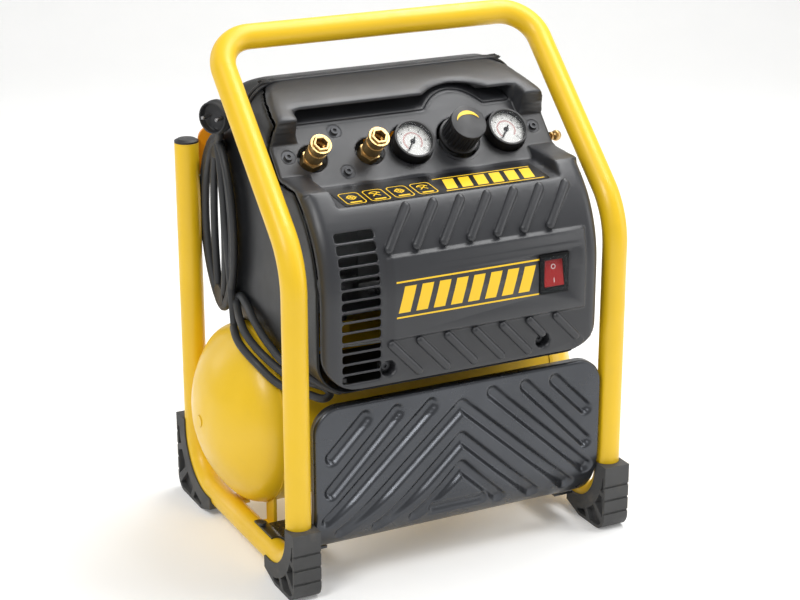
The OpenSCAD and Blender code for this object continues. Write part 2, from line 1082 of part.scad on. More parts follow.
module coupler_bodies() {
    color("goldenrod")
        for (x = coupler_x)
            at_panel(x, coupler_s, 0)
                difference() {
                    union() {
                        translate([0, manifold_s - coupler_s, 0])
                            stem(-22, -8, 5);
                        rotate([0, 0, 15])
                            translate([0, 0, -12])
                                cylinder(h = 13, r = 12.5, $fn = 6);
                        stem(0, 30, 8.4);
                        stem(28, 31, 9.2);
                    }
                    stem(4, 40, 5.4);
                    stem(24, 40, 6.8);
                }
}

module coupler_sleeve(x) {
    r = sleeve_d / 2;
    color("gold")
        at_panel(x, coupler_s, 0)
            difference() {
                union() {
                    stem(6, 20, r - 1.2);
                    stem(19, 33, r - 2);
                    stem(28, 33, r);
                }
                stem(5, 34, 9.4);
            }
}

module left_coupler_sleeve() {
    coupler_sleeve(coupler_x[0]);
}

module right_coupler_sleeve() {
    coupler_sleeve(coupler_x[1]);
}

module gauge_cases() {
    r = gauge_d / 2;
    color("black")
        for (x = gauge_x)
            at_panel(x, gauge_s, 0)
                difference() {
                    union() {
                        stem(-12, 8, r - 0.6);
                        stem(7, 13, r);
                        translate([0, manifold_s - gauge_s, 0])
                            stem(-22, -11, 5);
                    }
                    stem(4, 14, r - 2.4);
                }
}

module gauge_dials() {
    r = gauge_d / 2;
    color("white")
        for (x = gauge_x)
            at_panel(x, gauge_s, 0)
                stem(4 + gap, 5.5, r - 2.4 - gap);
}

// Needle pointing to the lower left, at the zero mark.
module needle(x) {
    color("black")
        at_panel(x, gauge_s, 0)
            rotate([0, 0, -90 - 40 - needle_turn]) {
                stem(5.5 + gap, 8.5, 2);
                translate([-6, -0.8, 6.6])
                    cube([20, 1.6, 0.8]);
            }
}

module left_needle() {
    needle(gauge_x[0]);
}

module right_needle() {
    needle(gauge_x[1]);
}

module gauge_lenses() {
    r = gauge_d / 2;
    color("white")
        for (x = gauge_x)
            at_panel(x, gauge_s, 0)
                stem(10.5, 12, r - 2.4 - gap);
}

module regulator_body() {
    color("goldenrod")
        at_panel(knob_x, knob_s, 0) {
            translate([0, manifold_s - knob_s, 0])
                stem(-22, -12, 5);
            stem(-14, 0, 17);
            stem(-1, 26, 7);
        }
}

module regulator_knob() {
    r = knob_d / 2;
    color("black")
        at_panel(knob_x, knob_s, 0)
            difference() {
                union() {
                    stem(1, 5, r + 2.5);
                    stem(4, 35, r);
                }
                stem(0, 27, 7 + gap);
                for (a = [0 : 15 : 345])
                    translate([(r + 0.6) * cos(a), (r + 0.6) * sin(a), 7])
                        cylinder(h = 24, r = 1.5);
            }
}

// ---- cover ----

// Top view of the cover's front, at radius r from the face's centre line, rounded at both ends.
module face_plan(r, half, corner) {
    translate([0, -half])
        square([r - corner, 2 * half]);
    translate([0, -half + corner])
        square([r, 2 * (half - corner)]);
    for (side = [-1, 1])
        translate([r - corner, side * (half - corner)])
            circle(r = corner);
}

// Flat lower face and the curved upper face that turns about the same line.
module face_block(r, half, corner, z0, sweep) {
    intersection() {
        translate([0, face_cy, z0])
            rotate([0, 0, -90])
                linear_extrude(face_cz - z0 + lap)
                    face_plan(r, half, corner);
        translate([-half - 1, face_cy - r - 1, z0 - 1])
            cube([2 * half + 2, r + 1, face_cz]);
    }
    translate([0, face_cy, face_cz])
        rotate([90, 0, 90])
            rotate([0, 0, 180 - sweep])
                rotate_extrude(angle = sweep)
                    intersection() {
                        face_plan(r + proud, half, corner);
                        translate([0, -half - 1])
                            square([r + 1, 2 * half + 2]);
                    }
}

function on_panel(s) = [panel_y + s * cos(panel_tilt), panel_z + s * sin(panel_tilt)];
brow_front = [-20, 518];
ear_front = [-42.7, 510.6];
shoulder = on_panel(17.5);

// Side outline above the shoulder: panel up to a length, brow edge and the roll over the top.
module crown_profile(lower, length, front, inset) {
    shift = [0.85 * inset, -0.9 * inset];
    arc_end = [face_cy - face_r * cos(face_sweep), face_cz + face_r * sin(face_sweep)];
    roll_y = shell_back - roll_r;
    polygon([[face_cy - 20, lower], [face_cy - 20, face_cz - 10], arc_end + shift,
             shoulder + shift, on_panel(length) + shift, front + shift,
             [rim_y + shift[0], cover_top - inset], [roll_y, cover_top - inset], [roll_y, lower]]);
    translate([roll_y, cover_top - roll_r])
        intersection() {
            circle(r = roll_r - inset + proud);
            translate([-1, -1])
                square(roll_r + 1);
        }
    translate([roll_y - 1, lower])
        square([roll_r + 1 - inset + proud, cover_top - roll_r - lower]);
}

// Outside of the whole cover for a half width and bottom height.
module cover_body(half, bottom, inset) {
    intersection() {
        union() {
            face_block(face_r - inset, half - inset + proud, edge_r, bottom, face_sweep);
            across(0, 2 * (half - inset + 1))
                crown_profile(bottom + inset - 1, panel_len, brow_front, inset);
            both_sides()
                across((half + 2 + ear_x) / 2, half + 2 - ear_x - 2 * inset)
                    crown_profile(400, ear_len, ear_front, inset);
        }
        along_y(-200, shell_back - inset)
            outline(half - inset, bottom + inset, cover_top - inset,
                    bottom_corner - inset, top_corner - inset);
    }
}

// Side outline of everything behind the seam between the two covers.
module behind_seam(g) {
    r = seam_r - g;
    rise = 109;
    back = [4.5 + g, -5 - g];
    intersection() {
        translate([face_cy, face_cz])
            circle(r = r + proud);
        translate([face_cy - r - 1, face_cz - 2])
            square([r + 1, rise + 3]);
    }
    translate([face_cy - r, 100])
        square([r, face_cz - 100]);
    polygon([[face_cy - 50, 300], [face_cy - sqrt(r * r - rise * rise) + 1, face_cz + rise],
             shoulder + back, on_panel(ear_len) + back, ear_front + back,
             [rim_y, cover_top] + back, [rim_y + 5, 300]]);
    translate([face_cy - 1, 100])
        square([rim_y - face_cy + 6, 250]);
    translate([rim_y + g, 100])
        square([200, 500]);
}

// The sunk shelf in front of the panel, enlarged by d.
module shelf_cut(half, d) {
    across(0, 2 * half)
        polygon([[-160, 428.5 - d], [panel_y + 0.4 * d, panel_z - 0.9 * d],
                 shoulder + [0.73 * d, -0.68 * d], [-60, 475], [-160, 475]]);
}

module grille_cut() {
    pitch = 11.9;
    for (i = [0 : grille_slots - 1])
        translate([-152, -175, 246 + i * pitch])
            cube([46, 60, 9]);
}

// Round clearance behind the regulator knob, above a height n over the panel.
module brow_scoop(r, n) {
    intersection() {
        translate([63, -56.8, 400])
            cylinder(h = 160, r = r);
        at_panel(-20, 22, n)
            cube([170, 140, 60]);
    }
}

// A raised strip of the front face between two radii, from x0 to x1 and z0 to z1.
module face_strip(r0, r1, x0, x1, z0, z1) {
    intersection() {
        difference() {
            face_block(r1, cover_half, 1, z0 - 5, 50);
            face_block(r0, cover_half + 1, 1, z0 - 6, 52);
        }
        translate([x0, -200, z0])
            cube([x1 - x0, 190, z1 - z0]);
    }
}

// Raised ribs on the front: short ones under the band and long ones above it.
module face_ribs() {
    for (i = [0 : 6]) {
        if (i != 5)
            along_y(face_y - 2, face_y + 1)
                capsule([-93.5 + 34.5 * i, 283], [-61 + 34.5 * i, 248], 8);
        translate([-76.8 + 33.4 * i, face_cy, face_cz])
            rotate([-29.5, 0, 0])
                translate([0, -face_r, 0])
                    rotate([0, 40, 0])
                        translate([-3.5, -1, -25])
                            cube([7, 4, 50]);
    }
}

module panel_holes() {
    for (x = coupler_x)
        at_panel(x, coupler_s, -8)
            cylinder(h = 9, r = 16.5);
    for (x = concat(gauge_x, [knob_x]))
        at_panel(x, gauge_s, -8)
            cylinder(h = 9, r = 25.5);
    for (p = panel_screws) {
        at_panel(p[0], p[1], -1.2)
            cylinder(h = 4, r = 8);
        at_panel(p[0], p[1], -12)
            cylinder(h = 16, r = 2.6);
    }
    for (p = face_screws)
        translate([p[0], face_y - 2, p[1]])
            rotate([-90, 0, 0]) {
                cylinder(h = 3.4, r = 8.5);
                cylinder(h = 14, r = 2.6);
            }
}

// The rear cover's share: all behind the seam at the sides, only the low and rear part between.
module rear_share(g, middle) {
    both_sides()
        across((shell_half + 1 + middle) / 2, shell_half + 1 - middle)
            behind_seam(g);
    across(0, 2 * middle + 0.1)
        intersection() {
            behind_seam(g);
            union() {
                translate([-200, 100])
                    square([400, 320 - g]);
                translate([rim_y + g, 100])
                    square([200, 500]);
            }
        }
}

module front_shell() {
    difference() {
        cover_body(cover_half, cover_bottom, 0);
        difference() {
            cover_body(cover_half, cover_bottom, cover_t);
            shelf_cut(shelf_half + cover_t, cover_t);
            brow_scoop(57.6, -cover_t);
        }
        rear_share(0, ear_x + 2);
    }
}

module front_cover() {
    color("dimgray")
        difference() {
            union() {
                front_shell();
                face_strip(face_r - 1, face_r + 1.5, -92, 150, 291, 378);
                face_ribs();
            }
            shelf_cut(shelf_half, 0);
            brow_scoop(54.6, proud);
            grille_cut();
            panel_holes();
            translate([switch_x - 15, face_y - 5, switch_z - 18])
                cube([30, 20, 36]);
        }
}

module rear_vents() {
    for (z = [300 : 13 : 430])
        translate([-100, shell_back - 10, z])
            cube([200, 20, 6]);
}

module rear_cover() {
    color("black")
        difference() {
            intersection() {
                difference() {
                    cover_body(shell_half, shell_bottom, 0);
                    cover_body(shell_half, shell_bottom, cover_t);
                }
                rear_share(0.3, ear_x + 4);
            }
            rod_x(-200, 200, tank_y, tank_z, tank_r + 3);
            rear_vents();
            at_panel(150, manifold_s, manifold_n)
                rotate([0, 90, 0])
                    cylinder(h = 60, r = 8);
            translate([-138, -138, shell_bottom - 5])
                cylinder(h = 12, r = 5);
        }
}

// ---- cord ----

cord_r = 4.2;
cord_x = -180;
cord_y = 95;
cord_z = 362;
strand_h = 98;
strand_bulge = 30;
strand_r = (strand_h * strand_h + strand_bulge * strand_bulge) / (2 * strand_bulge);
strand_a = asin(strand_h / strand_r);

// One bowed strand, side -1 to the front and 1 to the rear, at offset e from the middle.
module strand(side, e) {
    translate([cord_x, cord_y + side * (e + strand_bulge - strand_r), cord_z])
        rotate([90, 0, 90])
            rotate([0, 0, side > 0 ? -strand_a : 180 - strand_a])
                rotate_extrude(angle = 2 * strand_a)
                    translate([strand_r, 0])
                        circle(r = cord_r);
}

// The bend over a hook between two neighbouring strands.
module strand_end(side, e_front, e_rear) {
    r = (e_front + e_rear) / 2 / cos(strand_a);
    translate([cord_x, cord_y + (e_rear - e_front) / 2, cord_z + side * (strand_h - r * sin(strand_a))])
        rotate([90, 0, 90])
            rotate([0, 0, side > 0 ? strand_a : 180 + strand_a])
                rotate_extrude(angle = 180 - 2 * strand_a)
                    translate([r, 0])
                        circle(r = cord_r + proud);
}

// The wound cord: down at the front of each turn and up at the rear, ending under the cover.
module power_cord() {
    front = [9, 18, 27];
    rear = [13.5, 22.5];
    low = cord_z - strand_h;
    color("darkslategray") {
        for (e = front)
            strand(-1, e);
        for (i = [0 : 1]) {
            strand(1, rear[i]);
            strand_end(-1, front[i], rear[i]);
            strand_end(1, front[i + 1], rear[i]);
        }
        run([[cord_x, cord_y - 27, low + 1], [-185, 60, low - 3], [-196, 30, low - 10],
             [-201, 0, 245], [-194, -34, 231], [-176, -57, 209], [-160, -100, 212],
             [-138, -138, 222], [-138, -138, 245]], cord_r);
        run([[cord_x, cord_y - 9, cord_z + strand_h - 1], [-185, 80, 470], [-189.5, 74.5, 483]], cord_r);
        plug();
    }
}

// Moulded mains plug that leans on the upper hook, with its face to the front left.
module plug() {
    translate([-193, 72, 493.6])
        rotate([0, 0, 121.5])
            rotate([90, 0, 0]) {
                cylinder(h = 8, r = 19.5);
                translate([0, 0, -8])
                    difference() {
                        cylinder(h = 9, r = 18);
                        translate([0, 0, -1])
                            cylinder(h = 9, r = 16.5);
                    }
                for (x = [-9.5, 9.5])
                    translate([x, 0, -14])
                        cylinder(h = 15, r = 2.4);
            }
}

module cord_hooks() {
    color("black")
        for (z = [-90, 90])
            translate([0, cord_y + 2, cord_z + z]) {
                rod_x(-188, -shell_half - gap, 0, 0, 5);
                rod_x(-188, -185.5, 0, 0, 13);
                rod_x(-shell_half - gap - 1.5, -shell_half - gap, 0, 0, 7.5);
            }
}

// ---- nodes ----

roll_cage();
rear_brace();
tube_caps();
front_left_foot();
front_right_foot();
rear_left_foot();
rear_right_foot();
kick_plate();
rail_clips();
outer_screws();
air_tank();
tank_brackets();
tank_plug();
drain_valve();
drain_knob();
check_valve();
delivery_pipe();
unloader_tube();
outlet_pipe();
pump_saddles();
vibration_mounts();
pump_deck();
crankcase();
motor_stator();
motor_windings();
motor_end_bell();
motor_bolts();
shaft_bearings();
motor_rotor();
crankshaft();
cooling_fan();
connecting_rod();
piston_ring();
cylinder_barrel();
valve_plate();
cylinder_head();
head_bolts();
intake_filter();
start_capacitor();
pressure_switch();
switch_bezel();
rocker_switch();
switch_cover();
air_manifold();
safety_valve();
safety_valve_knob();
coupler_bodies();
left_coupler_sleeve();
right_coupler_sleeve();
gauge_cases();
gauge_dials();
left_needle();
right_needle();
gauge_lenses();
regulator_body();
regulator_knob();
front_cover();
rear_cover();
cord_hooks();
power_cord();
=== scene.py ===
import math
import bmesh
import bpy
import numpy as np
from mathutils import Matrix, Vector
from mathutils.kdtree import KDTree


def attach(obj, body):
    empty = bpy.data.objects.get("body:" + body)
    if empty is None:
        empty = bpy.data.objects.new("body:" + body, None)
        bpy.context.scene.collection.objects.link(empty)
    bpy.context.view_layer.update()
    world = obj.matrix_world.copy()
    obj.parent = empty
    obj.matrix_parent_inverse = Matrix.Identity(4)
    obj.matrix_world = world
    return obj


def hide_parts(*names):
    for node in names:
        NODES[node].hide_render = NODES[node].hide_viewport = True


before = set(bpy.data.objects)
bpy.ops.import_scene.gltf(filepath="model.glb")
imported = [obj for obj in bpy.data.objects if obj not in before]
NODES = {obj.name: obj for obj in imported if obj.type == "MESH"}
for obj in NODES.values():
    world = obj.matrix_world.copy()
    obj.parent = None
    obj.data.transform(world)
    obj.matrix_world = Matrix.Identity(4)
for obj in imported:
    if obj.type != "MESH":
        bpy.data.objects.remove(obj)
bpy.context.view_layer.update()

MM = 0.001


# ---- materials ----

GRAIN_DEPTH = 0.6 * MM
COAT_ROUGH = 0.15


def rgb(r, g, b):
    """An sRGB colour on 0 to 255 as linear values."""
    def linear(c):
        c = c / 255.0
        return c / 12.92 if c <= 0.04045 else ((c + 0.055) / 1.055) ** 2.4
    return (linear(r), linear(g), linear(b), 1.0)


DIRT = rgb(120, 112, 98)


def mix_colours(nt, factor, a, b, kind="MIX"):
    node = nt.nodes.new("ShaderNodeMix")
    node.data_type = "RGBA"
    node.blend_type = kind
    for socket, value in ((0, factor), (6, a), (7, b)):
        if hasattr(value, "links"):
            nt.links.new(value, node.inputs[socket])
        else:
            node.inputs[socket].default_value = value
    return node.outputs[2]


def noise_out(nt, coords, scale, detail=4.0, stretch=None):
    node = nt.nodes.new("ShaderNodeTexNoise")
    node.inputs["Scale"].default_value = scale
    node.inputs["Detail"].default_value = detail
    if stretch:
        mapping = nt.nodes.new("ShaderNodeMapping")
        mapping.inputs["Scale"].default_value = stretch
        nt.links.new(coords, mapping.inputs["Vector"])
        coords = mapping.outputs["Vector"]
    nt.links.new(coords, node.inputs["Vector"])
    return node.outputs["Fac"]


def ramp(nt, value, low, high, out_low=0.0, out_high=1.0):
    node = nt.nodes.new("ShaderNodeMapRange")
    node.inputs["From Min"].default_value = low
    node.inputs["From Max"].default_value = high
    node.inputs["To Min"].default_value = out_low
    node.inputs["To Max"].default_value = out_high
    nt.links.new(value, node.inputs["Value"])
    return node.outputs["Result"]


def edge_mask(nt, radius):
    """1 near sharp edges, 0 on flats, from how far the rounded normal turns."""
    bevel = nt.nodes.new("ShaderNodeBevel")
    bevel.samples = 4
    bevel.inputs["Radius"].default_value = radius
    geometry = nt.nodes.new("ShaderNodeNewGeometry")
    dot = nt.nodes.new("ShaderNodeVectorMath")
    dot.operation = "DOT_PRODUCT"
    nt.links.new(bevel.outputs["Normal"], dot.inputs[0])
    nt.links.new(geometry.outputs["Normal"], dot.inputs[1])
    return ramp(nt, dot.outputs["Value"], 0.98, 0.80)


def drifting_colour(nt, coords, colour, blotch):
    """The colour, a little darker or lighter from place to place."""
    dark = tuple(c * (1.0 - blotch) for c in colour[:3]) + (1.0,)
    light = tuple(min(1.0, c * (1.0 + blotch)) for c in colour[:3]) + (1.0,)
    return mix_colours(nt, ramp(nt, noise_out(nt, coords, 9.0, 5.0), 0.3, 0.7), dark, light)


def dirty_colour(nt, coords, base, dirt):
    """The base colour with dirt over it in patches."""
    patches = noise_out(nt, coords, 38.0, 8.0)
    return mix_colours(nt, ramp(nt, patches, 0.60, 0.78, 0.0, dirt), base, DIRT)


def worn_colour(nt, coords, base, worn, edge, wear):
    """The base colour with the worn one in patches along sharp edges."""
    breakup = ramp(nt, noise_out(nt, coords, 90.0, 6.0), 0.42, 0.62, 0.0, wear)
    both = nt.nodes.new("ShaderNodeMath")
    both.operation = "MULTIPLY"
    nt.links.new(edge_mask(nt, edge), both.inputs[0])
    nt.links.new(breakup, both.inputs[1])
    return mix_colours(nt, both.outputs[0], base, worn)


def grained_normal(nt, fine, edge, bump):
    """The surface normal with its edges rounded and a fine grain on it."""
    rounded = nt.nodes.new("ShaderNodeBevel")
    rounded.samples = 4
    rounded.inputs["Radius"].default_value = edge
    height = nt.nodes.new("ShaderNodeBump")
    height.inputs["Strength"].default_value = bump
    height.inputs["Distance"].default_value = GRAIN_DEPTH
    nt.links.new(fine, height.inputs["Height"])
    nt.links.new(rounded.outputs["Normal"], height.inputs["Normal"])
    return height.outputs["Normal"]


def material(name, colour, rough=0.5, metal=0.0, grain=400.0, bump=0.05, blotch=0.12,
             edge=0.0015, worn=None, wear=0.35, coat=0.0, spread=0.12, brushed=None, dirt=0.0,
             gloss=0.5):
    """A painted, moulded or machined surface with its own grain, roughness and edge wear."""
    m = bpy.data.materials.new(name)
    m.use_nodes = True
    nt = m.node_tree
    shader = nt.nodes["Principled BSDF"]
    coords = nt.nodes.new("ShaderNodeTexCoord").outputs["Object"]
    shader.inputs["Metallic"].default_value = metal
    shader.inputs["Coat Weight"].default_value = coat
    shader.inputs["Coat Roughness"].default_value = COAT_ROUGH
    shader.inputs["Specular IOR Level"].default_value = gloss
    base = drifting_colour(nt, coords, colour, blotch)
    if dirt > 0:
        base = dirty_colour(nt, coords, base, dirt)
    if worn:
        base = worn_colour(nt, coords, base, worn, edge, wear)
    smooth = max(0.03, rough - spread)
    patches = ramp(nt, noise_out(nt, coords, 30.0, 6.0), 0.3, 0.7, smooth, rough + spread)
    fine = noise_out(nt, coords, grain, 3.0, brushed)
    nt.links.new(base, shader.inputs["Base Color"])
    nt.links.new(patches, shader.inputs["Roughness"])
    nt.links.new(grained_normal(nt, fine, edge, bump), shader.inputs["Normal"])
    return m


def clear_plastic(name, tint, alpha):
    m = material(name, tint, 0.06, grain=900.0, bump=0.01, blotch=0.02, spread=0.03)
    m.node_tree.nodes["Principled BSDF"].inputs["Alpha"].default_value = alpha
    return m


MATS = {
    "cage": material("cage_paint", rgb(233, 190, 22), 0.42, coat=0.12, grain=520.0, bump=0.05,
                     blotch=0.04, worn=rgb(214, 150, 20), wear=0.4, dirt=0.05),
    "brace": material("brace_paint", rgb(238, 150, 18), 0.34, coat=0.3, grain=520.0, bump=0.06,
                      blotch=0.06, worn=rgb(190, 110, 20), dirt=0.05),
    "tank": material("tank_paint", rgb(235, 192, 24), 0.40, coat=0.15, grain=300.0, bump=0.06,
                     blotch=0.04, worn=rgb(214, 150, 20), wear=0.3, dirt=0.05),
    "black_paint": material("black_paint", rgb(74, 76, 80), 0.29, metal=0.8, grain=700.0, bump=0.06,
                            blotch=0.12, worn=rgb(110, 112, 116), wear=0.12, spread=0.05),
    "dark_steel": material("black_oxide_steel", rgb(66, 67, 70), 0.42, metal=0.5, grain=500.0,
                           bump=0.1, blotch=0.12, worn=rgb(120, 120, 122), wear=0.5, edge=0.0006),
    "bezel": material("bezel_plastic", rgb(15, 15, 16), 0.45, grain=1500.0, bump=0.15, blotch=0.1,
                      worn=rgb(40, 40, 42), wear=0.3, gloss=0.1),
    "rubber": material("foot_rubber", rgb(66, 66, 66), 0.72, grain=1400.0, bump=0.35, blotch=0.14,
                       worn=rgb(112, 110, 106), wear=0.5, dirt=0.35),
    "cover": material("cover_plastic", rgb(47, 48, 51), 0.36, grain=1900.0, bump=0.2, blotch=0.07,
                      worn=rgb(84, 85, 90), wear=0.25, spread=0.05),
    # The rear cover is black plastic like the front one, but its darker colour is partly painted shade
    # for its sides, which fall dark.
    "shell": material("shell_plastic_painted_shade", rgb(27, 28, 30), 0.34, grain=1700.0, bump=0.18, blotch=0.08,
                      worn=rgb(60, 61, 65), wear=0.25, spread=0.05, gloss=0.22),
    "dark": material("dark_plastic", rgb(26, 26, 28), 0.42, grain=1500.0, bump=0.18, blotch=0.12,
                     worn=rgb(62, 62, 64), wear=0.35),
    "steel": material("zinc_steel", rgb(150, 150, 152), 0.36, metal=0.9, grain=260.0, bump=0.12,
                      blotch=0.12, brushed=(1.0, 1.0, 9.0)),
    "plain_steel": material("machined_steel", rgb(128, 128, 130), 0.34, metal=0.95, grain=240.0,
                            bump=0.15, blotch=0.1, brushed=(7.0, 1.0, 1.0)),
    "brass": material("brass", rgb(198, 166, 112), 0.3, metal=0.9, grain=320.0, bump=0.14, blotch=0.14,
                      worn=rgb(240, 214, 150), wear=0.5, brushed=(1.0, 1.0, 6.0), edge=0.0008),
    "cast": material("cast_aluminium", rgb(150, 152, 154), 0.52, metal=0.7, grain=420.0, bump=0.4,
                     blotch=0.12, worn=rgb(190, 190, 190), wear=0.4),
    "copper": material("copper_wire", rgb(176, 96, 52), 0.36, metal=0.8, grain=220.0, bump=0.6,
                       blotch=0.2, brushed=(14.0, 1.0, 1.0)),
    "nylon": material("nylon_tube", rgb(196, 196, 190), 0.3, grain=300.0, bump=0.08),
    "dial": material("dial_white", rgb(236, 236, 232), 0.45, grain=900.0, bump=0.04, blotch=0.02,
                     edge=0.0004),
    "ink": material("dial_ink", rgb(22, 22, 24), 0.5, grain=900.0, bump=0.05, edge=0.0001),
    "red_ink": material("dial_red", rgb(190, 34, 26), 0.5, grain=900.0, bump=0.05, edge=0.0001),
    "yellow_ink": material("label_yellow", rgb(246, 200, 34), 0.42, grain=900.0, bump=0.08,
                           blotch=0.05, edge=0.0001),
    "label": material("label_black", rgb(17, 17, 19), 0.32, grain=900.0, bump=0.05, blotch=0.08,
                      edge=0.0004),
    "cord": material("cord_rubber", rgb(44, 45, 47), 0.5, grain=1200.0, bump=0.25, blotch=0.14,
                     worn=rgb(90, 90, 92), wear=0.3),
    "clear": clear_plastic("clear_plastic", rgb(84, 88, 92), 0.06),
    "red": material("rocker_red", rgb(164, 26, 24), 0.3, grain=800.0, bump=0.05, blotch=0.08,
                    coat=0.1, edge=0.0006, gloss=0.3),
}

NODE_MATS = {
    "cage": ["roll_cage", "tank_brackets", "pump_saddles"],
    "brace": ["rear_brace"],
    "tank": ["air_tank"],
    "black_paint": ["kick_plate", "rail_clips"],
    "rubber": ["front_left_foot", "front_right_foot", "rear_left_foot", "rear_right_foot",
               "vibration_mounts"],
    "cover": ["front_cover"],
    "shell": ["rear_cover"],
    "dark": ["tube_caps", "cooling_fan", "intake_filter", "start_capacitor", "pressure_switch",
             "gauge_cases", "regulator_knob", "cord_hooks", "piston_ring"],
    "bezel": ["switch_bezel"],
    "dark_steel": ["outer_screws"],
    "steel": ["head_bolts", "motor_bolts", "pump_deck", "tank_plug"],
    "plain_steel": ["motor_stator", "motor_rotor", "crankshaft", "shaft_bearings", "valve_plate"],
    "brass": ["drain_valve", "drain_knob", "check_valve", "safety_valve", "safety_valve_knob",
              "coupler_bodies", "left_coupler_sleeve", "right_coupler_sleeve"],
    "cast": ["crankcase", "motor_end_bell", "cylinder_barrel", "cylinder_head", "connecting_rod",
             "delivery_pipe", "outlet_pipe", "air_manifold", "regulator_body"],
    "copper": ["motor_windings"],
    "nylon": ["unloader_tube"],
    "dial": ["gauge_dials"],
    "ink": ["left_needle", "right_needle"],
    "clear": ["gauge_lenses", "switch_cover"],
    "red": ["rocker_switch"],
    "cord": ["power_cord"],
}


def paint_nodes():
    """Gives each CAD node its finish and smooth shading."""
    for name, members in NODE_MATS.items():
        for member in members:
            mesh = NODES[member].data
            mesh.materials.clear()
            mesh.materials.append(MATS[name])
            mesh.polygons.foreach_set("use_smooth", [True] * len(mesh.polygons))


# ---- mesh helpers ----

def link_object(name, data):
    o = bpy.data.objects.new(name, data)
    bpy.context.scene.collection.objects.link(o)
    return o


def finish_mesh(name, bm, mat, body="frame", smooth=True):
    """Turns a bmesh into a named piece that rides on a body."""
    mesh = bpy.data.meshes.new(name)
    bm.to_mesh(mesh)
    bm.free()
    mesh.polygons.foreach_set("use_smooth", [smooth] * len(mesh.polygons))
    mesh.materials.append(MATS[mat])
    o = link_object(name, mesh)
    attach(o, body)
    return o


def join_rings(bm, rings):
    """Walls between closed rings of places, one ring to the next."""
    n = len(rings[0])
    for a, b in zip(rings, rings[1:]):
        for i in range(n):
            j = (i + 1) % n
            corners = list(dict.fromkeys((a[i], a[j], b[j], b[i])))
            if len(corners) > 2:
                bm.faces.new(corners)


def close_rings(bm, rings):
    """A closed body from rings, with its first and last ring filled."""
    join_rings(bm, rings)
    bm.faces.new(rings[-1])
    bm.faces.new(list(reversed(rings[0])))


def flat_shapes(name, shapes, place, mat, thickness=0.25, body="frame"):
    """Thin printed shapes from outlines in mm, laid in a frame."""
    bm = bmesh.new()
    for outline in shapes:
        close_rings(bm, [[bm.verts.new(place @ Vector((x * MM, y * MM, h * MM))) for x, y in outline]
                         for h in (0, thickness)])
    bmesh.ops.recalc_face_normals(bm, faces=bm.faces)
    return finish_mesh(name, bm, mat, body, smooth=False)


def lathe(name, profile, place, mat, steps=48, smooth=True):
    """A turned piece from (radius, height) points in mm about the local Z of a frame."""
    bm = bmesh.new()
    rings = []
    for r, h in profile:
        if r == 0:
            rings.append([bm.verts.new(place @ Vector((0, 0, h * MM)))] * steps)
            continue
        turn = [2 * math.pi * i / steps for i in range(steps)]
        rings.append([bm.verts.new(place @ (Vector((r * math.cos(a), r * math.sin(a), h)) * MM))
                      for a in turn])
    join_rings(bm, rings)
    bmesh.ops.recalc_face_normals(bm, faces=bm.faces)
    return finish_mesh(name, bm, mat, smooth=smooth)


def through(points, steps=8):
    """A smooth path that passes through every point."""
    pts = [Vector(p) for p in points]
    pts = [2 * pts[0] - pts[1]] + pts + [2 * pts[-1] - pts[-2]]
    path = []
    for a, b, c, d in zip(pts, pts[1:], pts[2:], pts[3:]):
        for i in range(steps):
            t = i / steps
            path.append(0.5 * (2 * b + (c - a) * t + (2 * a - 5 * b + 4 * c - d) * t * t
                               + (3 * b - a - 3 * c + d) * t ** 3))
    return path + [pts[-2]]


def lay_cord(name, path, r, mat):
    """A round cord of radius r along a path in mm."""
    curve = bpy.data.curves.new(name, "CURVE")
    curve.dimensions = "3D"
    curve.bevel_depth = r * MM
    curve.bevel_resolution = 5
    curve.use_fill_caps = True
    spline = curve.splines.new("POLY")
    spline.points.add(len(path) - 1)
    for point, place in zip(spline.points, path):
        point.co = (place[0] * MM, place[1] * MM, place[2] * MM, 1)
    curve.materials.append(MATS[mat])
    o = link_object(name, curve)
    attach(o, "frame")
    return o


def plane_frame(origin, right, up):
    """A frame at a place in mm with its X and Y along two directions."""
    m = Matrix((right, up, right.cross(up))).transposed().to_4x4()
    m.translation = origin * MM
    return m


def frame_towards(place, direction):
    """A frame at a place in mm with its Z along a direction."""
    m = direction.to_track_quat("Z", "Y").to_matrix().to_4x4()
    m.translation = place * MM
    return m


# ---- flat outlines ----

def arc_band(r0, r1, a0, a1, steps=40):
    """Quads that follow a ring from angle a0 to a1, in degrees."""
    quads = []
    for i in range(steps):
        p = math.radians(a0 + (a1 - a0) * i / steps)
        q = math.radians(a0 + (a1 - a0) * (i + 1) / steps)
        quads.append([(r0 * math.cos(p), r0 * math.sin(p)), (r1 * math.cos(p), r1 * math.sin(p)),
                      (r1 * math.cos(q), r1 * math.sin(q)), (r0 * math.cos(q), r0 * math.sin(q))])
    return quads


def tick(r0, r1, angle, width):
    """A straight bar that points away from the centre, from r0 to r1."""
    c = math.cos(math.radians(angle))
    s = math.sin(math.radians(angle))
    w = width / 2
    return [(r0 * c - w * s, r0 * s + w * c), (r0 * c + w * s, r0 * s - w * c),
            (r1 * c + w * s, r1 * s - w * c), (r1 * c - w * s, r1 * s + w * c)]


def box_outline(x0, y0, x1, y1, r, steps=6):
    """A rectangle with round corners."""
    points = []
    for cx, cy, start in ((x1 - r, y1 - r, 0), (x0 + r, y1 - r, 90),
                          (x0 + r, y0 + r, 180), (x1 - r, y0 + r, 270)):
        for i in range(steps + 1):
            a = math.radians(start + 90 * i / steps)
            points.append((cx + r * math.cos(a), cy + r * math.sin(a)))
    return points


def ring_of(outline, width):
    """Quads along the inside of a closed outline, for a drawn frame."""
    cx = sum(p[0] for p in outline) / len(outline)
    cy = sum(p[1] for p in outline) / len(outline)
    wide = max(abs(p[0] - cx) for p in outline)
    tall = max(abs(p[1] - cy) for p in outline)
    inner = [(cx + (x - cx) * (1 - width / wide), cy + (y - cy) * (1 - width / tall))
             for x, y in outline]
    n = len(outline)
    return [[outline[i], outline[(i + 1) % n], inner[(i + 1) % n], inner[i]] for i in range(n)]


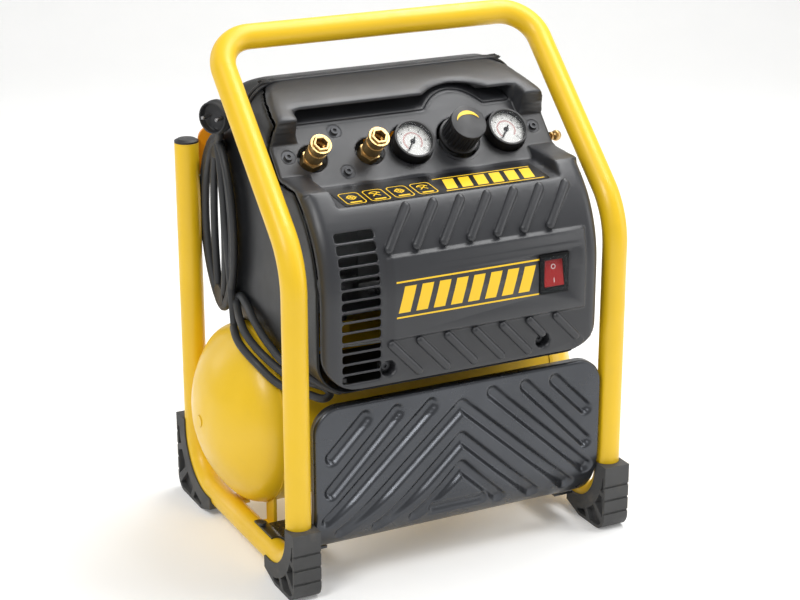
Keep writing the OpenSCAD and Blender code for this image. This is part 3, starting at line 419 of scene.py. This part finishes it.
def moved(shapes, dx, dy):
    return [[(x + dx, y + dy) for x, y in outline] for outline in shapes]


def disc(r, steps=24):
    turn = [2 * math.pi * i / steps for i in range(steps)]
    return [(r * math.cos(a), r * math.sin(a)) for a in turn]


# ---- kick plate with its pressed channels ----

PLATE_HALF = 182.3
PLATE_TOP = 218.0
PLATE_Y = -160.7
BEND_R = 75.0
BEND_Z = 102.0
BEND_SWEEP = 58.7
PLATE_LENGTH = PLATE_TOP - BEND_Z + BEND_R * math.radians(BEND_SWEEP)
CORNER_R = 30.0
EDGE_ROLL = 3.0
FLANGE = 9.0
SHEET = 1.6
PLATE_COLUMNS = 260
PLATE_ROWS = 116
CHANNEL_R = 8.2
CHANNEL_DEPTH = 6.2
CHANNELS = [((-121, 200), (-162, 159)), ((-82, 200), (-163, 118)), ((-39, 200), (-166, 83)),
            ((0, 192), (-146, 62)), ((0, 152), (-100, 60)), ((0, 117), (-54, 64)),
            ((0, 68), (-30, 68))]


def smoothstep(t):
    """0 below 0, 1 above 1, and a smooth rise between."""
    t = max(0.0, min(1.0, t))
    return t * t * (3.0 - 2.0 * t)


def capsule_distance(x, z, p, q):
    """Distance from a place on the plate to the line from p to q."""
    dx = q[0] - p[0]
    dz = q[1] - p[1]
    t = ((x - p[0]) * dx + (z - p[1]) * dz) / (dx * dx + dz * dz)
    t = max(0.0, min(1.0, t))
    return math.hypot(x - p[0] - t * dx, z - p[1] - t * dz)


def channel_drop(x, z):
    """Depth of the pressed channels at a place on the plate."""
    nearest = min(capsule_distance(-abs(x), z, p, q) for p, q in CHANNELS)
    return CHANNEL_DEPTH * (1.0 - smoothstep((nearest - CHANNEL_R + 5.0) / 7.0))


def plate_point(x, s):
    """A place on the plate s below its top edge, with its inward normal (y and z)."""
    flat = PLATE_TOP - BEND_Z
    if s <= flat:
        return Vector((x, PLATE_Y, PLATE_TOP - s)), Vector((0, 1, 0))
    a = (s - flat) / BEND_R
    y = PLATE_Y + BEND_R * (1 - math.cos(a))
    z = BEND_Z - BEND_R * math.sin(a)
    return Vector((x, y, z)), Vector((0, math.cos(a), math.sin(a)))


def corner_inset(s):
    """How far a rounded top corner pulls the plate's side in, s below its top edge."""
    if s >= CORNER_R:
        return 0.0
    return CORNER_R - math.sqrt(max(0.0, CORNER_R ** 2 - (CORNER_R - s) ** 2))


def edge_drop(x, s):
    """How far the plate's front rolls back close to its outline."""
    rim = min(PLATE_HALF - abs(x), s, PLATE_LENGTH - s)
    if s < CORNER_R and abs(x) > PLATE_HALF - CORNER_R:
        rim = CORNER_R - math.hypot(abs(x) - PLATE_HALF + CORNER_R, CORNER_R - s)
    return EDGE_ROLL - math.sqrt(max(0.0, EDGE_ROLL ** 2 - max(0.0, EDGE_ROLL - rim) ** 2))


def plate_front(bm):
    """The plate's front as an even grid that follows its corners, bend and channels."""
    corner = [CORNER_R * (1 - math.cos(math.radians(6 * i))) for i in range(15)]
    below = PLATE_LENGTH - CORNER_R
    grid = []
    for s in corner + [CORNER_R + below * i / PLATE_ROWS for i in range(PLATE_ROWS + 1)]:
        half = PLATE_HALF - corner_inset(s)
        line = []
        for j in range(PLATE_COLUMNS + 1):
            x = half * (2.0 * j / PLATE_COLUMNS - 1.0)
            place, inward = plate_point(x, s)
            drop = channel_drop(x, place.z) + edge_drop(x, s)
            line.append(bm.verts.new((place + inward * drop) * MM))
        grid.append(line)
    for a, b in zip(grid, grid[1:]):
        for j in range(PLATE_COLUMNS):
            bm.faces.new((a[j], a[j + 1], b[j + 1], b[j]))


def kick_plate():
    bm = bmesh.new()
    plate_front(bm)
    bm.normal_update()
    outline = [e for e in bm.edges if e.is_boundary]
    flange = bmesh.ops.extrude_edge_only(bm, edges=outline)
    for v in flange["geom"]:
        if isinstance(v, bmesh.types.BMVert):
            v.co.y += FLANGE * MM
    bmesh.ops.recalc_face_normals(bm, faces=bm.faces)
    o = finish_mesh("pressed_kick_plate", bm, "black_paint")
    sheet = o.modifiers.new("sheet", "SOLIDIFY")
    sheet.thickness = SHEET * MM
    sheet.offset = -1.0
    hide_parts("kick_plate")


# ---- sloping panel: dials, knob, couplers and prints ----

TILT = math.radians(47)
PANEL_Y = -69.1
PANEL_Z = 438.4
ACROSS = Vector((1, 0, 0))
UP_SLOPE = Vector((0, math.cos(TILT), math.sin(TILT)))
NORMAL = Vector((0, -math.sin(TILT), math.cos(TILT)))
GAUGES = (("left", -5.3), ("right", 115.0))
GAUGE_S = 38.5
DIAL_R = 21.2
DIAL_TOP = 5.5
DIAL_START = 225
DIAL_SWEEP = 270
HUB_R = 3.1
PRINT_RISE = 0.12
KNOB_X = 54.6
KNOB_S = 39.0
KNOB_TOP = 35.3
CRESCENT_R = 14.4
CRESCENT_FAT = 4.4
TURN_ARROWS_R = 29.5
COUPLERS = (("left", -128.0), ("right", -57.8))
COUPLER_S = 36.0
COLLAR = [(6.9, 29), (10.2, 29), (10.2, 34.6), (9.5, 35.4), (7.4, 35.4), (6.9, 34.9), (6.9, 29)]


def panel_frame(x, s, n):
    """A frame on the panel: x across, s up the slope and n out from it."""
    m = Matrix((ACROSS, UP_SLOPE, NORMAL)).transposed().to_4x4()
    m.translation = (Vector((x, PANEL_Y, PANEL_Z)) + UP_SLOPE * s + NORMAL * n) * MM
    return m


def digits(name, value, x, s, n, size):
    """A dial number as thin raised figures on the panel."""
    curve = bpy.data.curves.new(name, "FONT")
    curve.body = value
    curve.size = size * MM
    curve.align_x = "CENTER"
    curve.align_y = "CENTER"
    curve.extrude = 0.08 * MM
    curve.materials.append(MATS["ink"])
    o = link_object(name, curve)
    o.matrix_world = panel_frame(x, s, n)
    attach(o, "frame")


def black_scale():
    """The dial's outer ticks and rim line, with the hub in the middle."""
    marks = []
    for i in range(61):
        major = i % 5 == 0
        inner = DIAL_R - (3.6 if major else 2.0)
        marks.append(tick(inner, DIAL_R - 0.6, DIAL_START - DIAL_SWEEP * i / 60,
                          0.55 if major else 0.25))
    return marks + arc_band(DIAL_R - 0.75, DIAL_R - 0.45, -45, 225, 60) + [disc(HUB_R)]


def red_scale():
    """The dial's finer inner ticks on their line."""
    marks = [tick(9.7, 11.2, DIAL_START - DIAL_SWEEP * i / 40, 0.3) for i in range(41)]
    return marks + arc_band(11.2, 11.6, -45, 225, 60)


def dial_numbers(side, x):
    """Seven even numbers from 0 round a dial's scale."""
    r = DIAL_R - 6.3
    for i in range(7):
        angle = math.radians(DIAL_START - DIAL_SWEEP * i / 6)
        digits("{}_dial_number_{}".format(side, i), str(2 * i), x + r * math.cos(angle),
               GAUGE_S + r * math.sin(angle), DIAL_TOP + 0.1, 3.7)


def gauges():
    for side, x in GAUGES:
        place = panel_frame(x, GAUGE_S, DIAL_TOP + 0.05)
        flat_shapes(side + "_dial_scale", black_scale(), place, "ink", PRINT_RISE)
        flat_shapes(side + "_dial_red_scale", red_scale(), place, "red_ink", PRINT_RISE)
        dial_numbers(side, x)


def coupler_collars():
    """Hexagonal collars that stand out of the couplers' sleeves."""
    for side, x in COUPLERS:
        lathe(side + "_coupler_collar", COLLAR, panel_frame(x, COUPLER_S, 0), "brass",
              steps=6, smooth=False)


def knob_mark():
    """A crescent on the regulator knob's top, widest in the middle."""
    pairs = []
    for i in range(25):
        a = math.radians(15 + 150 * i / 24)
        inner = CRESCENT_R - 0.4 - CRESCENT_FAT * math.sin(math.pi * i / 24)
        pairs.append([(r * math.cos(a), r * math.sin(a)) for r in (CRESCENT_R, inner)])
    quads = [[p[0], p[1], q[1], q[0]] for p, q in zip(pairs, pairs[1:])]
    flat_shapes("knob_crescent", quads, panel_frame(KNOB_X, KNOB_S, KNOB_TOP), "yellow_ink", 0.3,
                body="regulator")


def panel_prints():
    """Small tick marks by the left gauge and turn arrows by the regulator."""
    rays = [tick(3, 9, 40 + 25 * i, 1.5) for i in range(5)]
    flat_shapes("gauge_icon", rays, panel_frame(-15, 5, 0.02), "label", 0.15)
    arcs = arc_band(TURN_ARROWS_R, TURN_ARROWS_R + 1.1, 225, 262, 16)
    arcs += arc_band(TURN_ARROWS_R, TURN_ARROWS_R + 1.1, 278, 315, 16)
    flat_shapes("regulator_arrows", arcs, panel_frame(KNOB_X, KNOB_S, 0.02), "label", 0.15)


# ---- rocker ----

SWITCH_X = 107.0
SWITCH_Z = 335.3
ROCKER_Y = -171.9
ROCKER_UP = Vector((0, 0.181, 0.983))


def rocker_marks():
    """The plain on and off signs moulded in the rocker."""
    place = plane_frame(Vector((SWITCH_X, ROCKER_Y, SWITCH_Z)), ACROSS, ROCKER_UP)
    signs = moved(arc_band(2.1, 2.9, 0, 360, 20), 0, 7.5) + [tick(-10.5, -5.5, 90, 0.9)]
    flat_shapes("rocker_marks", signs, place, "dial", 0.2, body="rocker")


# ---- softened covers ----

FACE_Y = -169.0
FACE_CY = -23.7
FACE_CZ = 335.0
FACE_R = 145.3
BAND_RISE = 4.0
BAND_CAD = 1.5
BAND_LEFT = -100.0
BAND_RIGHT = 152.0
BAND_LOW = 286.0
BAND_HIGH = 383.0
BEZEL_HALF_X = 19.5
BEZEL_HALF_Z = 23.0
BEZEL_RISE = 1.0
SOFT_PASSES = 26
SOFT_FLOOR = 412.0
SHELL_VOXEL = 2.2
COVE_DEPTH = 26.0
COVE_HALF = 138.0
COVE_LOW = 60.0
COVE_HIGH = 125.0
LIP_UP = 91.7
LIP_OUT = 18.4
CROWN_FALL = 0.5516
COVE_WAY = (UP_SLOPE - NORMAL * CROWN_FALL).normalized()
FACE_SCREWS = (-97.0, 97.0)
FACE_SCREW_Z = 256.0
SCREW_SINK = 12.0
RECESS_R = 8.0
FACE_SCREWS_FRONT = -150.0
FACE_SCREWS_ABOVE = 230.0


def settled_mesh(mesh, name, kind, **settings):
    """A copy of a mesh with one modifier worked into it."""
    o = link_object(name, mesh)
    modifier = o.modifiers.new(name, kind)
    for key, value in settings.items():
        setattr(modifier, key, value)
    view = bpy.context.evaluated_depsgraph_get()
    result = bpy.data.meshes.new_from_object(o.evaluated_get(view))
    bpy.data.objects.remove(o)
    return result


def even_mesh(nodes, voxel):
    """The outside of some CAD nodes rebuilt with even facets."""
    bm = bmesh.new()
    for node in nodes:
        bm.from_mesh(NODES[node].data)
    joined = bpy.data.meshes.new("joined")
    bm.to_mesh(joined)
    bm.free()
    return settled_mesh(joined, "even", "REMESH", mode="VOXEL", voxel_size=voxel * MM)


def mesh_places(mesh):
    """The places of a mesh in mm, one row each."""
    co = np.empty(len(mesh.vertices) * 3)
    mesh.vertices.foreach_get("co", co)
    return co.reshape(-1, 3) / MM


def step_up(value, low, high):
    """The smooth step from 0 at low to 1 at high, for a row of values."""
    t = np.clip((value - low) / (high - low), 0.0, 1.0)
    return t * t * (3.0 - 2.0 * t)


def softness(co):
    """How much each place on the covers may round over: the crown fully, the panel not at all."""
    x, y, z = co[:, 0], co[:, 1], co[:, 2]
    above = (y - PANEL_Y) * NORMAL.y + (z - PANEL_Z) * NORMAL.z
    crown = step_up(z, SOFT_FLOOR, SOFT_FLOOR + 14) * step_up(np.abs(above), 0.5, 7.0)
    shelf = step_up(y, -100, -80) + step_up(z, 440, 455)
    return crown * np.clip(0.3 + 0.7 * shelf, 0.0, 1.0)


def rounded_places(mesh, passes):
    """Where each place of a mesh ends after its corners are worn round."""
    co = mesh_places(mesh)
    count = len(co)
    ends = np.empty(len(mesh.edges) * 2, dtype=np.int64)
    mesh.edges.foreach_get("vertices", ends)
    a, b = ends.reshape(-1, 2).T
    degree = np.bincount(ends, minlength=count)
    pull = 0.6 * softness(co) / np.maximum(degree, 1)
    for _ in range(passes):
        for k in range(3):
            line = co[:, k]
            total = np.bincount(a, line[b], count) + np.bincount(b, line[a], count)
            co[:, k] = line + pull * (total - degree * line)
    return co


def band_rise(x, z):
    """Height of the wide raised band across the front, lower where the rocker's bezel sits."""
    sides = smoothstep((x - BAND_LEFT) / 10) * smoothstep((BAND_RIGHT - x) / 4)
    levels = smoothstep((z - BAND_LOW) / 5) * smoothstep((BAND_HIGH - z) / 5)
    rise = BAND_RISE * sides * levels
    beyond_bezel = max(abs(x - SWITCH_X) - BEZEL_HALF_X, abs(z - SWITCH_Z) - BEZEL_HALF_Z)
    return min(rise, BEZEL_RISE) if beyond_bezel < 0 else rise


def face_shift(place):
    """How the cover's face moves: out to make the band, and in to make the screw recesses."""
    for x in FACE_SCREWS:
        away = math.hypot(place.x - x, place.z - FACE_SCREW_Z)
        if away < RECESS_R + 1.2:
            return Vector((0, SCREW_SINK * (1.0 - smoothstep((away - RECESS_R) / 1.2)), 0))
    rise = band_rise(place.x, place.z)
    above = max(0.0, place.z - FACE_CZ)
    out = Vector((0, place.y - FACE_CY, above))
    if rise == 0 or out.length < FACE_R - 0.6:
        return Vector((0, 0, 0))
    level = min(out.length, FACE_R + BAND_CAD)
    return out.normalized() * max(0.0, FACE_R + rise - level)


def cove_shift(place):
    """Push of the brow's front wall back under the crown, which leaves its lip overhanging."""
    from_edge = place - Vector((0, PANEL_Y, PANEL_Z))
    up = from_edge.dot(UP_SLOPE)
    out = from_edge.dot(NORMAL)
    inside = COVE_HALF - abs(place.x)
    if inside < 0 or not COVE_LOW <= up <= COVE_HIGH:
        return Vector((0, 0, 0))
    under = (LIP_OUT - CROWN_FALL * (up - LIP_UP) - out) * math.cos(math.atan(CROWN_FALL))
    depth = COVE_DEPTH * smoothstep((out - 0.3) / 3.5) * smoothstep((under - 3.8) / 3.5)
    return COVE_WAY * depth * smoothstep(inside / 7)


def crown_moves():
    """How the joined covers' places move as their crown is worn round, with a tree to find them."""
    shell = even_mesh(["front_cover", "rear_cover"], SHELL_VOXEL)
    before = mesh_places(shell)
    tree = KDTree(len(before))
    for i, place in enumerate(before):
        tree.insert(place, i)
    tree.balance()
    return tree, rounded_places(shell, SOFT_PASSES) - before


def crown_shift(place, tree, moves):
    """The joined covers' movement near a place, averaged over the nearest ones."""
    near = tree.find_n(place, 10)
    share = [1.0 / (d * d + 1.0) for _, _, d in near]
    return Vector(np.average([moves[i] for _, i, _ in near], axis=0, weights=share))


def soft_cover(node, voxel, faces, mat, tree, moves):
    """A cover with its crown rounded and undercut, and its face pressed out and in."""
    mesh = even_mesh([node], voxel)
    for v in mesh.vertices:
        place = v.co / MM
        if place.z > SOFT_FLOOR:
            v.co += (crown_shift(place, tree, moves) + cove_shift(place)) * MM
        elif node == "front_cover" and place.y < FACE_CY - FACE_R * 0.8:
            v.co += face_shift(place) * MM
    mesh.vertices.foreach_set("co", (rounded_places(mesh, 3) * MM).ravel())
    ratio = min(1.0, faces / (2.0 * len(mesh.polygons)))
    thin = settled_mesh(mesh, "thin", "DECIMATE", ratio=ratio)
    thin.polygons.foreach_set("use_smooth", [True] * len(thin.polygons))
    thin.materials.clear()
    thin.materials.append(MATS[mat])
    o = link_object("moulded_" + node, thin)
    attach(o, "frame")
    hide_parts(node)


def soft_covers():
    tree, moves = crown_moves()
    soft_cover("front_cover", 1.4, 170000, "cover", tree, moves)
    soft_cover("rear_cover", 2.3, 120000, "shell", tree, moves)


def sunk_screws():
    """The outer screws, with the two on the face deep in their recesses."""
    bm = bmesh.new()
    bm.from_mesh(NODES["outer_screws"].data)
    for v in bm.verts:
        if v.co.y < FACE_SCREWS_FRONT * MM and v.co.z > FACE_SCREWS_ABOVE * MM:
            v.co.y += SCREW_SINK * MM
    o = finish_mesh("sunk_screws", bm, "dark_steel")
    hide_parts("outer_screws")


# ---- raised lines over the crown ----

BEAD_ARM = 172.2
BEAD_TURN_R = 40.2
BEAD_TURN_X = 132.0
BEAD_TURN_Z = 495.0


def bead_arm(side, y):
    """Half of a line: up one flank of the crown, then round its shoulder."""
    arm = [Vector((side * BEAD_ARM, y + back, z)) for back, z in ((-22, 440), (-8, 468), (0, 492))]
    for i in range(10):
        t = math.radians(90 - 10 * i)
        arm.append(Vector((side * (BEAD_TURN_X + BEAD_TURN_R * math.sin(t)), y,
                           BEAD_TURN_Z + (BEAD_TURN_R + 0.4) * math.cos(t))))
    return arm


def crown_beads():
    """Two thin raised lines over the crown where the covers meet."""
    for name, y, r in (("front", 36.5, 2.0), ("rear", 45.0, 2.2)):
        path = bead_arm(-1, y) + list(reversed(bead_arm(1, y)))
        lay_cord("crown_bead_" + name, through(path, 4), r, "cover")


# ---- labels on the covers ----

SHELF_FRONT = Vector((0, -134.0, 431.34))
SHELF_BACK = Vector((0, PANEL_Y, PANEL_Z))
SIGN_X = -123.0
SIGN_PITCH = 29.0
SIGN_WIDE = 24.0
BADGE = (-89.0, 88.0, 313.0, 354.0)
BADGE_LINE = 1.8
BADGE_SLANT = 8.0


def sign(i):
    """One framed picture sign: a ring or an arch with four rays over a short bar."""
    x = SIGN_X + SIGN_PITCH * i
    ring = arc_band(3.8, 5.4, 0, 360, 24) if i % 2 == 0 else arc_band(6.0, 7.5, 20, 160, 16)
    rays = [tick(0.5, 6.4, 90 * k + 45 * (i % 2), 1.4) for k in range(4)]
    picture = moved(ring + rays, x + SIGN_WIDE / 2, 27)
    rim = ring_of(box_outline(x, 9, x + SIGN_WIDE, 40, 5), 1.0)
    return rim + picture + [box_outline(x + 5, 12.5, x + SIGN_WIDE - 5, 15.5, 1.2)]


def shelf_label():
    """Black strip over the sunk shelf with picture signs and slanted bars in yellow."""
    base = plane_frame(SHELF_FRONT, ACROSS, (SHELF_BACK - SHELF_FRONT).normalized())
    flat_shapes("shelf_strip", [box_outline(-128, 5, 126, 57, 3)], base, "label", 0.45)
    top = base @ Matrix.Translation((0, 0, 0.47 * MM))
    signs = [shape for i in range(4) for shape in sign(i)]
    flat_shapes("shelf_signs", signs, top, "yellow_ink", PRINT_RISE)
    bars = [box_outline(-4, y, 120, y + 1.6, 0.5) for y in (8, 43.4)]
    slanted = [(0, 13), (13.5, 13), (21, 40), (7.5, 40)]
    for i in range(6):
        bars += moved([slanted], 19.6 * i - 1, 0)
    flat_shapes("shelf_bars", bars, top, "yellow_ink", PRINT_RISE)


def cover_point(x, z, h):
    """A place h in front of the cover's face, which is flat below and rolls back above."""
    if z <= FACE_CZ:
        return Vector((x, FACE_Y - h, z))
    a = math.asin(min(1.0, (z - FACE_CZ) / FACE_R))
    r = FACE_R + h
    return Vector((x, FACE_CY - r * math.cos(a), FACE_CZ + r * math.sin(a)))


def wrapped_bar(bm, low, high, z0, z1, lift=0.15):
    """A thin bar on the band, as wide as low at z0 and as high at z1."""
    rows = max(1, int((z1 - z0) / 3))
    rings = []
    for i in range(rows + 1):
        t = i / rows
        xa = low[0] + (high[0] - low[0]) * t
        xb = low[1] + (high[1] - low[1]) * t
        corners = ((xa, -0.6), (xb, -0.6), (xb, lift), (xa, lift))
        rings.append([bm.verts.new(cover_point(x, z0 + (z1 - z0) * t, BAND_RISE + h) * MM)
                      for x, h in corners])
    close_rings(bm, rings)


def front_badge():
    """Plain slanted bars between two lines, printed on the raised band."""
    x0, x1, z0, z1 = BADGE
    bm = bmesh.new()
    wrapped_bar(bm, (x0, x1), (x0, x1), z0, z0 + BADGE_LINE)
    wrapped_bar(bm, (x0, x1), (x0, x1), z1 - BADGE_LINE, z1)
    for i in range(8):
        x = x0 + 21.2 * i + 2
        wrapped_bar(bm, (x, x + 14), (x + BADGE_SLANT, x + 14 + BADGE_SLANT), z0 + 6, z1 - 6)
    bmesh.ops.recalc_face_normals(bm, faces=bm.faces)
    finish_mesh("front_badge", bm, "yellow_ink", smooth=False)


# ---- moulded ribs on the front cover ----

RIB_R = 5.2
RIB_H = 5.6
RIB_LEVELS = 9
RIB_HALF_STEPS = 10
UPPER_RIBS = [((-92.5 + 33.4 * i, 388), (-61 + 33.4 * i, 425)) for i in range(7)]
LOWER_FALLS = [(33, 35)] * 5 + [(16, 17), (26, 27)]
LOWER_RIBS = [((34.5 * i - 94, 283), (34.5 * i - 94 + across, 283 - fall))
              for i, (across, fall) in enumerate(LOWER_FALLS)]


def rib_outline(p, q, reach):
    """A bar with round ends from p to q, as places across and up."""
    along = math.atan2(q[1] - p[1], q[0] - p[0])
    outline = []
    for centre, start in ((q, along - math.pi / 2), (p, along + math.pi / 2)):
        for i in range(RIB_HALF_STEPS + 1):
            a = start + math.pi * i / RIB_HALF_STEPS
            outline.append((centre[0] + reach * math.cos(a), centre[1] + reach * math.sin(a)))
    return outline


def add_rib(bm, p, q):
    """A domed bar on the face from p to q (x and z)."""
    rings = []
    for k in range(RIB_LEVELS):
        t = math.pi / 2 * k / (RIB_LEVELS - 1)
        reach = RIB_R * math.cos(t) + 0.02
        h = -0.6 + (RIB_H + 0.6) * math.sin(t) ** 0.7
        rings.append([bm.verts.new(cover_point(x, z, h) * MM) for x, z in rib_outline(p, q, reach)])
    close_rings(bm, rings)


def cover_ribs():
    bm = bmesh.new()
    for p, q in UPPER_RIBS + LOWER_RIBS:
        add_rib(bm, p, q)
    bmesh.ops.recalc_face_normals(bm, faces=bm.faces)
    finish_mesh("cover_ribs", bm, "cover")


# ---- power cord and plug ----

CORD_X = -181.0
CORD_Y = 95.0
CORD_Z = 362.0
CORD_R = 4.6
CORD_TURNS = 3
TURN_STEPS = 36
TURN_HALF_WIDE = 12.0
TURN_GROWTH = 15.5
TURN_HALF_HIGH = 97.0
CORD_RUNS = [(-186, 56, 262), (-197, 28, 255), (-202, 0, 246), (-196, -32, 233),
             (-179, -58, 213), (-160, -92, 210), (-150, -112, 210), (-143, -116, 216),
             (-147, -108, 222), (-160, -88, 224), (-173, -62, 226), (-189, -34, 243),
             (-194, -2, 256), (-190, 26, 265), (-184, 48, 272), (-179, 60, 277),
             (-178, 50, 284), (-180, 24, 278), (-183, -4, 268), (-181, -34, 254),
             (-173, -66, 238), (-160, -98, 232), (-143, -132, 226), (-138, -138, 232),
             (-138, -139, 243)]
PLUG_FACE = Vector((-193, 72, 493.6))
PLUG_OUT = Vector((-0.853, -0.522, 0)).normalized()
RELIEF_FOOT = Vector((-189.9, 73.9, 483))
RELIEF_OUT = Vector((3, 6.5, -11)).normalized()


def wound_turns():
    """Bowed strands round the two hooks, a little wider and taller each turn."""
    turns = []
    for i in range(CORD_TURNS * TURN_STEPS + 1):
        k = i / TURN_STEPS
        t = math.radians(90) + 2 * math.pi * k
        c = math.cos(t)
        wide = TURN_HALF_WIDE + TURN_GROWTH * k
        high = TURN_HALF_HIGH + 2.2 * k + 2.0 * math.sin(2.1 * k + 0.6)
        y = CORD_Y + wide * math.copysign(abs(c) ** 1.2, c) + 2.5 * math.sin(1.7 * t)
        x = CORD_X - 2.5 - 2.2 * math.sin(0.5 * t + 0.8) * abs(c) ** 0.5
        turns.append(Vector((x, y, CORD_Z - 2 + high * math.sin(t))))
    return turns


def wound_cord():
    """The cord from its plug, round the hooks, then three runs over the tank and in."""
    turns = wound_turns()
    start = through([(-190, 74, 480), (-187, 80, 470), turns[1]], 6)
    end = through([turns[-1]] + CORD_RUNS, 9)
    path = start[:-1] + turns[1:-1] + end
    cord = lay_cord("wound_cord", path, CORD_R, "cord")
    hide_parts("power_cord")


def strain_relief():
    """A ribbed sleeve where the cord leaves the plug."""
    profile = [(0, 0), (6.2, 0), (6.2, 3), (5.6, 4)]
    for i in range(6):
        h = 5 + 2.4 * i
        r = 5.7 - 0.1 * i
        profile += [(r, h), (r, h + 1.3), (4.9, h + 1.6), (4.9, h + 2.1)]
    profile += [(4.6, 20), (0, 20)]
    lathe("plug_strain_relief", profile, frame_towards(RELIEF_FOOT, RELIEF_OUT), "cord",
          steps=24)


def plug():
    base = frame_towards(PLUG_FACE, PLUG_OUT)
    body = [(0, -8), (14, -8), (17.5, -7), (19.3, -4.5), (19.5, -1), (19.3, 1), (18.4, 1.6),
            (18.4, 8), (17.9, 8.6), (17.0, 8.6), (16.6, 8), (16.4, 0.4), (15.8, 0), (0, 0)]
    pin = [(2.4, 0), (2.4, 12), (2.0, 13.6), (1.2, 14.2), (0, 14.3)]
    lathe("plug_body", body, base, "cord")
    for side, x in (("a", -9.5), ("b", 9.5)):
        place = base @ Matrix.Translation((x * MM, 0, 0))
        lathe("plug_pin_" + side, pin, place, "steel", steps=20)
    strain_relief()


# ---- stage ----

CAMERA_PLACE = Vector((-0.98943, -1.95084, 1.03319))
VIEW = Vector((0.4277, 0.8412, -0.3307)).normalized()
FOCAL_MM = 88.74
SENSOR_MM = 36.0
WHITE = (1, 1, 1, 1)
SWEEP_NEAR = -4.0
SWEEP_FAR = 3.2
SWEEP_HIGH = 3.0
SWEEP_CURVE = 0.9
SWEEP_HALF = 6.0
FLOOR_GLOW = 0.12
SKY_GLOW = 0.45


def camera():
    cam = bpy.data.cameras.new("photo_camera")
    cam.lens = FOCAL_MM
    cam.sensor_width = SENSOR_MM
    o = link_object("photo_camera", cam)
    right = VIEW.cross(Vector((0, 0, 1))).normalized()
    m = Matrix((right, right.cross(VIEW), -VIEW)).transposed().to_4x4()
    m.translation = CAMERA_PLACE
    o.matrix_world = m
    bpy.context.scene.camera = o


def area_light(name, place, size, power):
    """A white panel lamp that looks at the middle of the part."""
    light = bpy.data.lights.new(name, "AREA")
    light.shape = "RECTANGLE"
    light.size = size[0]
    light.size_y = size[1]
    light.energy = power
    o = link_object(name, light)
    o.location = place
    o.rotation_euler = (Vector((0, 0, 0.3)) - Vector(place)).to_track_quat("-Z", "Y").to_euler()


def sweep_material():
    pale = material("studio_floor", rgb(244, 244, 243), 0.7, grain=60.0, bump=0.02, blotch=0.01)
    shader = pale.node_tree.nodes["Principled BSDF"]
    shader.inputs["Emission Color"].default_value = WHITE
    shader.inputs["Emission Strength"].default_value = FLOOR_GLOW
    return pale


def sweep():
    """A pale floor that curves up into a wall behind the part."""
    profile = [(SWEEP_NEAR, 0.0)]
    for i in range(13):
        a = math.radians(7.5 * i)
        profile.append((SWEEP_FAR - SWEEP_CURVE * (1 - math.sin(a)),
                        SWEEP_CURVE * (1 - math.cos(a))))
    profile.append((SWEEP_FAR, SWEEP_HIGH))
    bm = bmesh.new()
    rows = [[bm.verts.new((x, y, z)) for x in (-SWEEP_HALF, SWEEP_HALF)] for y, z in profile]
    for a, b in zip(rows, rows[1:]):
        bm.faces.new((a[0], a[1], b[1], b[0]))
    mesh = bpy.data.meshes.new("studio_sweep")
    bm.to_mesh(mesh)
    bm.free()
    mesh.materials.append(sweep_material())
    mesh.polygons.foreach_set("use_smooth", [True] * len(mesh.polygons))
    o = link_object("studio_sweep", mesh)
    o.rotation_euler = (0, 0, math.atan2(-VIEW.x, VIEW.y))


def lights():
    world = bpy.data.worlds.new("studio")
    world.use_nodes = True
    background = world.node_tree.nodes["Background"]
    background.inputs["Color"].default_value = WHITE
    background.inputs["Strength"].default_value = SKY_GLOW
    bpy.context.scene.world = world
    bpy.context.scene.view_settings.view_transform = "Standard"
    area_light("key", (-1.7, -1.0, 2.2), (0.9, 0.9), 30)
    area_light("fill", (2.0, -1.2, 1.0), (0.7, 1.6), 12)
    area_light("top", (0.85, 0.1, 2.2), (2.3, 1.0), 48)
    area_light("rim", (-1.4, 1.7, 1.2), (0.8, 1.6), 6)


paint_nodes()
kick_plate()
soft_covers()
sunk_screws()
crown_beads()
gauges()
knob_mark()
panel_prints()
shelf_label()
front_badge()
cover_ribs()
coupler_collars()
rocker_marks()
wound_cord()
plug()
camera()
sweep()
lights()
